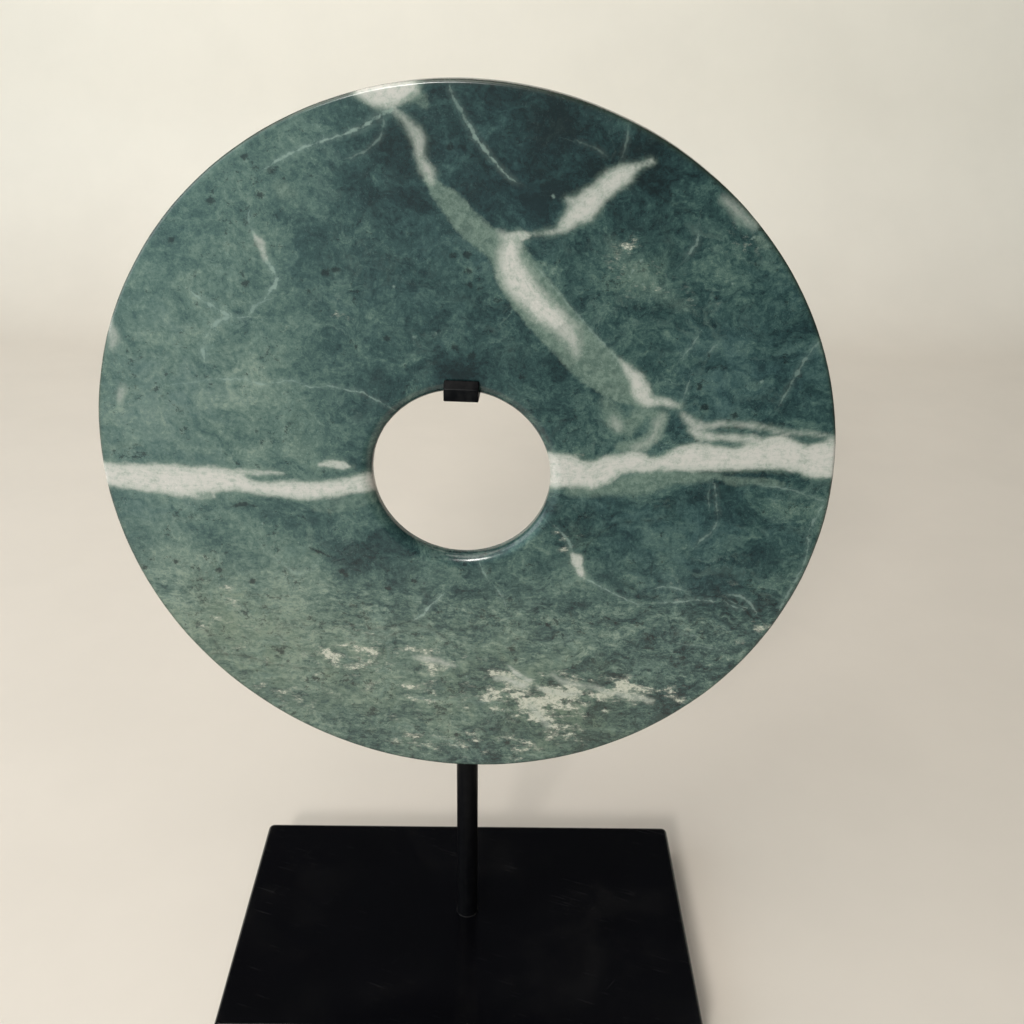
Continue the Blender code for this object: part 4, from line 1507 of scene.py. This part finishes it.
@dataclass
class Stand:
    """The metalwork: rod, ring of round bar, hook strip and their welds.

    Heights count from the disc's centre, and depths from its middle plane. The
    end profile says how far in from the rod's side its rings lie, and how high.
    What ends in wear is the nearness to an edge, from 0 to 1, of the piece's coat.
    """

    finish: Material
    rod_radius: float = 0.0050
    rod_side: float = 0.0009
    rod_depth: float = 0.0093
    rod_bottom: float = -0.2585
    rod_top: float = -0.0549
    rod_around: int = 72
    rod_steps: int = 90
    end_profile: tuple[Pair, ...] = (
        (0.0005, 0.0), (0.0004, 0.00012), (0.00012, 0.0004), (0.0, 0.0005))
    end_height: float = 0.0006
    end_middle: float = 0.6
    rod_wave: float = 0.00002
    rod_top_wear: float = 0.9
    bar_wear: float = 0.12
    hook_wear: float = 0.4
    bead_wear: float = 0.7
    weld_wear: float = 0.25
    ring_radius: float = 0.0500
    ring_drop: float = -HOLE_SHIFT[1]
    ring_around: int = 192
    bar_radius: float = 0.0025
    bar_around: int = 24
    bar_wave: float = 0.00003
    hook_width: float = 0.0134
    hook_rounding: float = 0.0004
    strip_thickness: float = 0.0016
    lip_rise: float = 0.0061
    lip_thickness: float = 0.003
    lip_bevel: Pair = (0.0022, 0.0028)
    tail_rise: float = 0.004
    bead_swell: float = 0.00042
    bead_around: int = 10
    weld_rows: int = 13
    weld_around: int = 28
    rod_weld_size: Triple = (0.0047, 0.0042, 0.0016)
    hook_weld_size: Triple = (0.0022, 0.0009, 0.0015)
    hook_weld_side: float = 0.0040

    def build(self) -> None:
        """Build every piece of the metalwork."""
        self.rod()
        self.ring()
        self.hook()
        self.foot_bead()
        self.welds()

    def rod(self) -> None:
        """Build the rod, with softened ends and the faint waves of a dipped coat."""
        length = self.rod_top - self.rod_bottom
        straight = length - 2 * self.end_height
        middle = self.end_middle * self.rod_radius
        ends = [(self.rod_radius - inset, height) for inset, height in self.end_profile]
        rings = [(middle, 0.0)] + ends
        rings += [(self.rod_radius, self.end_height + straight * step / self.rod_steps)
                  for step in range(self.rod_steps + 1)]
        rings += [(r, length - h) for r, h in reversed(ends)] + [(middle, length)]
        places, edge = [], []
        for radius, height in rings:
            for turn in turns(self.rod_around):
                wave = self.rod_wave * (1 + wavering(cos(turn), sin(turn), height * 60, 0.8))
                r = radius - wave
                places.append((self.rod_side + r * cos(turn), self.rod_depth + r * sin(turn),
                               self.rod_bottom + height))
                at_top = height > length - 0.0008
                edge.append(self.rod_top_wear if at_top else self.bar_wear)
        faces = capped_faces(len(rings), self.rod_around)
        made = new_piece("stand_rod", places, faces, self.finish, np.array(edge))
        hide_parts("rod")

    def ring(self) -> None:
        """Build the carrying ring of round bar."""
        places = []
        for way in turns(self.ring_around):
            for turn in turns(self.bar_around):
                wave = self.bar_wave * (1 + wavering(way * 9, cos(turn), sin(turn), 1))
                bar = self.bar_radius - wave
                r = self.ring_radius + bar * cos(turn)
                places.append((r * cos(way), self.rod_depth + bar * sin(turn),
                               r * sin(way) - self.ring_drop))
        faces = grid_faces(self.ring_around, self.bar_around, close_rows=True)
        made = new_piece("carrying_ring", places, faces, self.finish, self.bar_wear)
        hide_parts("bracket_ring")

    def hook_outline(self) -> list[Pair]:
        """Draw the hook's side view.

        Returns:
            Points as (depth, height), from the lip round to the back.
        """
        half_chord = self.hook_width / 2 - HOLE_SHIFT[0]
        seat = HOLE_SHIFT[1] + sqrt(HOLE_RADIUS ** 2 - half_chord ** 2) - GAP
        under, lip_top = seat - self.strip_thickness, seat + self.lip_rise
        lip_back = -DISC_THICKNESS / 2 - GAP
        lip_front = lip_back - self.lip_thickness
        bevel_back, bevel_down = self.lip_bevel
        tail = self.rod_depth - self.bar_radius - GAP
        tail_front = tail - self.strip_thickness
        tail_top = self.ring_radius - self.ring_drop + self.tail_rise
        return [(lip_front, under), (lip_front, lip_top - bevel_down),
                (lip_front + bevel_back, lip_top), (lip_back, lip_top), (lip_back, seat),
                (tail_front, seat), (tail_front, tail_top), (tail, tail_top), (tail, under)]

    def hook(self) -> None:
        """Build the flat hook with its bevelled lip, its edges rounded."""
        outline = self.hook_outline()
        work = bmesh.new()
        rows = []
        for share in (-1.0, -0.6, -0.2, 0.2, 0.6, 1.0):
            x = share * self.hook_width / 2
            rows.append([work.verts.new((x, y, z)) for y, z in outline])
        for lower, upper in zip(rows, rows[1:]):
            for i in range(len(outline)):
                j = (i + 1) % len(outline)
                work.faces.new((lower[i], lower[j], upper[j], upper[i]))
        work.faces.new(rows[0])
        work.faces.new(rows[-1])
        bmesh.ops.recalc_face_normals(work, faces=work.faces[:])
        sharp = [e for e in work.edges if len(e.link_faces) == 2
                 and e.calc_face_angle(0.0) > radians(20)]
        bmesh.ops.bevel(work, geom=sharp, offset=self.hook_rounding, segments=4, profile=0.5,
                        affect="EDGES", clamp_overlap=True)
        bmesh.ops.recalc_face_normals(work, faces=work.faces[:])
        mesh = bpy.data.meshes.new("hook_strip")
        work.to_mesh(mesh)
        work.free()
        store(mesh, "edge_nearness", np.full(len(mesh.vertices), self.hook_wear))
        made = stand_up(mesh, self.finish, DISC_PLACE)
        mesh.set_sharp_from_angle(angle=radians(50))
        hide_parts("hook")
        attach(made, "root")

    def foot_bead(self) -> None:
        """Build the thin bead of coat where the rod enters the base."""
        base_level = BASE_TOP - DISC_CENTRE[2]
        places = []
        for way in turns(self.rod_around):
            wave = wavering(cos(way) * 3, sin(way) * 3, 0.0, 1.0)
            swell = self.bead_swell * (1 + 0.18 * wave)
            for turn in turns(self.bead_around):
                r = self.rod_radius + 0.0001 + swell * cos(turn)
                lift = max(swell * sin(turn) + 0.00012, 0.00002)
                places.append((self.rod_side + r * cos(way), self.rod_depth + r * sin(way),
                               base_level + lift))
        faces = grid_faces(self.rod_around, self.bead_around, close_rows=True)
        new_piece("rod_foot_bead", places, faces, self.finish, self.bead_wear)

    def welds(self) -> None:
        """Add the weld beads between rod and ring, and between ring and hook."""
        ring_low = -self.ring_drop - self.ring_radius - self.bar_radius
        self.weld("rod_weld", (self.rod_side, self.rod_depth, ring_low - 0.0002),
                  self.rod_weld_size)
        hook_depth = self.rod_depth - self.bar_radius + 0.0003
        hook_height = self.ring_radius - self.ring_drop + 0.0006
        for name, x in (("hook_weld_left", -self.hook_weld_side),
                        ("hook_weld_right", self.hook_weld_side)):
            self.weld(name, (x, hook_depth, hook_height), self.hook_weld_size)

    def weld(self, name: str, centre: Triple, size: Triple) -> None:
        """Build one rippled weld bead.

        Args:
            name: the piece's name.
            centre: its middle in the disc's own frame.
            size: half extents.
        """
        places = []
        for row in range(self.weld_rows):
            lift = pi * (row + 0.5) / self.weld_rows - pi / 2
            for turn in turns(self.weld_around):
                ripple = 1 + 0.07 * sin(9 * cos(turn) * cos(lift)) + 0.05 * wavering(
                    cos(turn), sin(turn), sin(lift), 0.5)
                places.append((centre[0] + size[0] * ripple * cos(lift) * cos(turn),
                               centre[1] + size[1] * ripple * cos(lift) * sin(turn),
                               centre[2] + size[2] * ripple * sin(lift)))
        faces = capped_faces(self.weld_rows, self.weld_around)
        new_piece(name, places, faces, self.finish, self.weld_wear)


# Studio


@dataclass(frozen=True)
class SoftLight:
    """One soft area light."""

    name: str
    place: Triple
    aim: Triple
    size: Pair
    power: float
    colour: Triple

    def add(self) -> None:
        """Put the light into the scene, placed and aimed."""
        data = bpy.data.lights.new(self.name, "AREA")
        data.shape = "RECTANGLE"
        data.size, data.size_y = self.size
        data.energy = self.power
        data.color = self.colour
        lamp = bpy.data.objects.new(self.name, data)
        lamp.location = self.place
        way = Vector(self.aim) - Vector(self.place)
        lamp.rotation_euler = way.to_track_quat("-Z", "Y").to_euler()
        bpy.context.scene.collection.objects.link(lamp)


@dataclass
class Studio:
    """Pale floor that sweeps up behind, soft lights and the camera."""

    floor_colour: Triple = (0.76, 0.695, 0.625)
    floor_roughness: float = 0.55
    floor_darker: float = 0.97
    half_width: float = 3.0
    front: float = -0.39
    back: float = 1.0
    sweep_radius: float = 0.30
    screen_top: float = 0.80
    dim: Triple = (0.020, 0.022, 0.026)
    sky: Triple = (0.65, 0.79, 0.79)
    pane: Triple = (1.1, 1.75, 1.65)
    seen_tone: Triple = (0.72, 0.69, 0.65)
    camera_place: Triple = (0.01453, -0.40120, 0.43956)
    camera_right: Triple = (0.99983, -0.00519, 0.01747)
    camera_down: Triple = (0.01346, -0.43552, -0.90008)
    camera_forward: Triple = (0.01228, 0.90017, -0.43537)
    lens: float = 38.07
    sensor_width: float = 36.0
    lights: tuple[SoftLight, ...] = (
        SoftLight("ceiling_softbox", (-0.45, -0.30, 1.45), (0.0, 0.0, 0.2), (1.3, 1.0), 12.0,
                  (1.0, 0.95, 0.86)),
        SoftLight("left_window", (-1.45, -0.50, 0.75), (0.0, 0.0, 0.22), (1.4, 1.2), 13.0,
                  (0.86, 0.94, 1.0)),
        SoftLight("front_window", (-0.66, -2.12, 1.29), (0.0, 0.0, 0.25), (0.42, 0.40), 29.0,
                  (1.0, 0.97, 0.92)),
        SoftLight("wall_wash", (0.0, 0.65, 1.55), (0.0, 1.3, 0.30), (1.8, 0.20), 6.0,
                  (1.0, 0.95, 0.89)),
    )

    def build(self) -> None:
        """Build the floor, the lights, the surrounding tone and the camera."""
        self.sweep()
        for light in self.lights:
            light.add()
        self.world()
        self.camera()

    def sweep(self) -> None:
        """Build the pale floor with its low curved screen."""
        bend = arc((self.back, self.sweep_radius), self.sweep_radius, -pi / 2, 0.0, 16)
        line = [(self.front, 0.0), (-0.2, 0.0), (0.4, 0.0)] + bend
        line.append((self.back + self.sweep_radius, self.screen_top))
        places, faces = [], []
        for y, z in line:
            places += [(-self.half_width, y, z), (self.half_width, y, z)]
        for i in range(len(line) - 1):
            faces.append((2 * i, 2 * i + 1, 2 * i + 3, 2 * i + 2))
        mesh = bpy.data.meshes.new("pale_floor")
        mesh.from_pydata(places, [], faces)
        b = CoatBench("pale_floor")
        spot = b.node("ShaderNodeTexCoord").outputs["Object"]
        cloud = b.noise(b.scaled(spot, 9.0), 1.0, 4.0, 0.6)
        colour = b.blend(b.fade(cloud, 0.3, 0.7), self.floor_colour,
                         tuple(self.floor_darker * value for value in self.floor_colour))
        b.feed(b.shader.inputs["Base Color"], colour)
        b.shader.inputs["Roughness"].default_value = self.floor_roughness
        floor = stand_up(mesh, b.material)

    def world(self) -> None:
        """Set a dim surround for reflections and a pale one where it is seen directly."""
        world = bpy.data.worlds.new("surround")
        bpy.context.scene.world = world
        world.use_nodes = True
        b = Bench(world.node_tree)
        seen = b.node("ShaderNodeLightPath").outputs["Is Camera Ray"]
        x, y, z = b.parts(b.node("ShaderNodeTexCoord").outputs["Generated"])
        glow = b.times(b.fade(y, -0.2, -0.7), b.fade(x, 0.15, -0.50, 0.15, 1.0))
        mirrored = b.blend(glow, self.dim, self.sky)
        pane = b.times(b.fade(x, -0.30, -0.44), b.fade(x, -0.80, -0.60))
        pane = b.times(pane, b.times(b.fade(z, -0.30, -0.12), b.fade(z, 0.45, 0.30)))
        mirrored = b.blend(b.times(pane, b.fade(y, -0.3, -0.5)), mirrored, self.pane)
        back = world.node_tree.nodes["Background"]
        b.feed(back.inputs["Color"], b.blend(seen, mirrored, self.seen_tone))
        back.inputs["Strength"].default_value = 1.0

    def camera(self) -> None:
        """Place the camera as worked out from the part's outlines."""
        data = bpy.data.cameras.new("camera")
        data.lens = self.lens
        data.sensor_width = self.sensor_width
        data.clip_start = 0.01
        made = bpy.data.objects.new("camera", data)
        right, down = Vector(self.camera_right), Vector(self.camera_down)
        forward = Vector(self.camera_forward)
        turn = Matrix((right, -down, -forward)).transposed().to_4x4()
        made.matrix_world = Matrix.Translation(self.camera_place) @ turn
        bpy.context.scene.collection.objects.link(made)
        bpy.context.scene.camera = made


def main() -> None:
    """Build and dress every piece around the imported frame."""
    logging.basicConfig(level=logging.INFO, format="%(name)s: %(message)s")
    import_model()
    effects = Effects()
    StoneDisc(StoneFinish().make(effects)).build()
    BasePlate(LACQUER.make(effects)).build()
    Stand(ENAMEL.make(effects)).build()
    Studio().build()
    view = bpy.context.scene.view_settings
    view.view_transform = "Standard"
    view.look = "None"


if __name__ == "__main__":
    main()
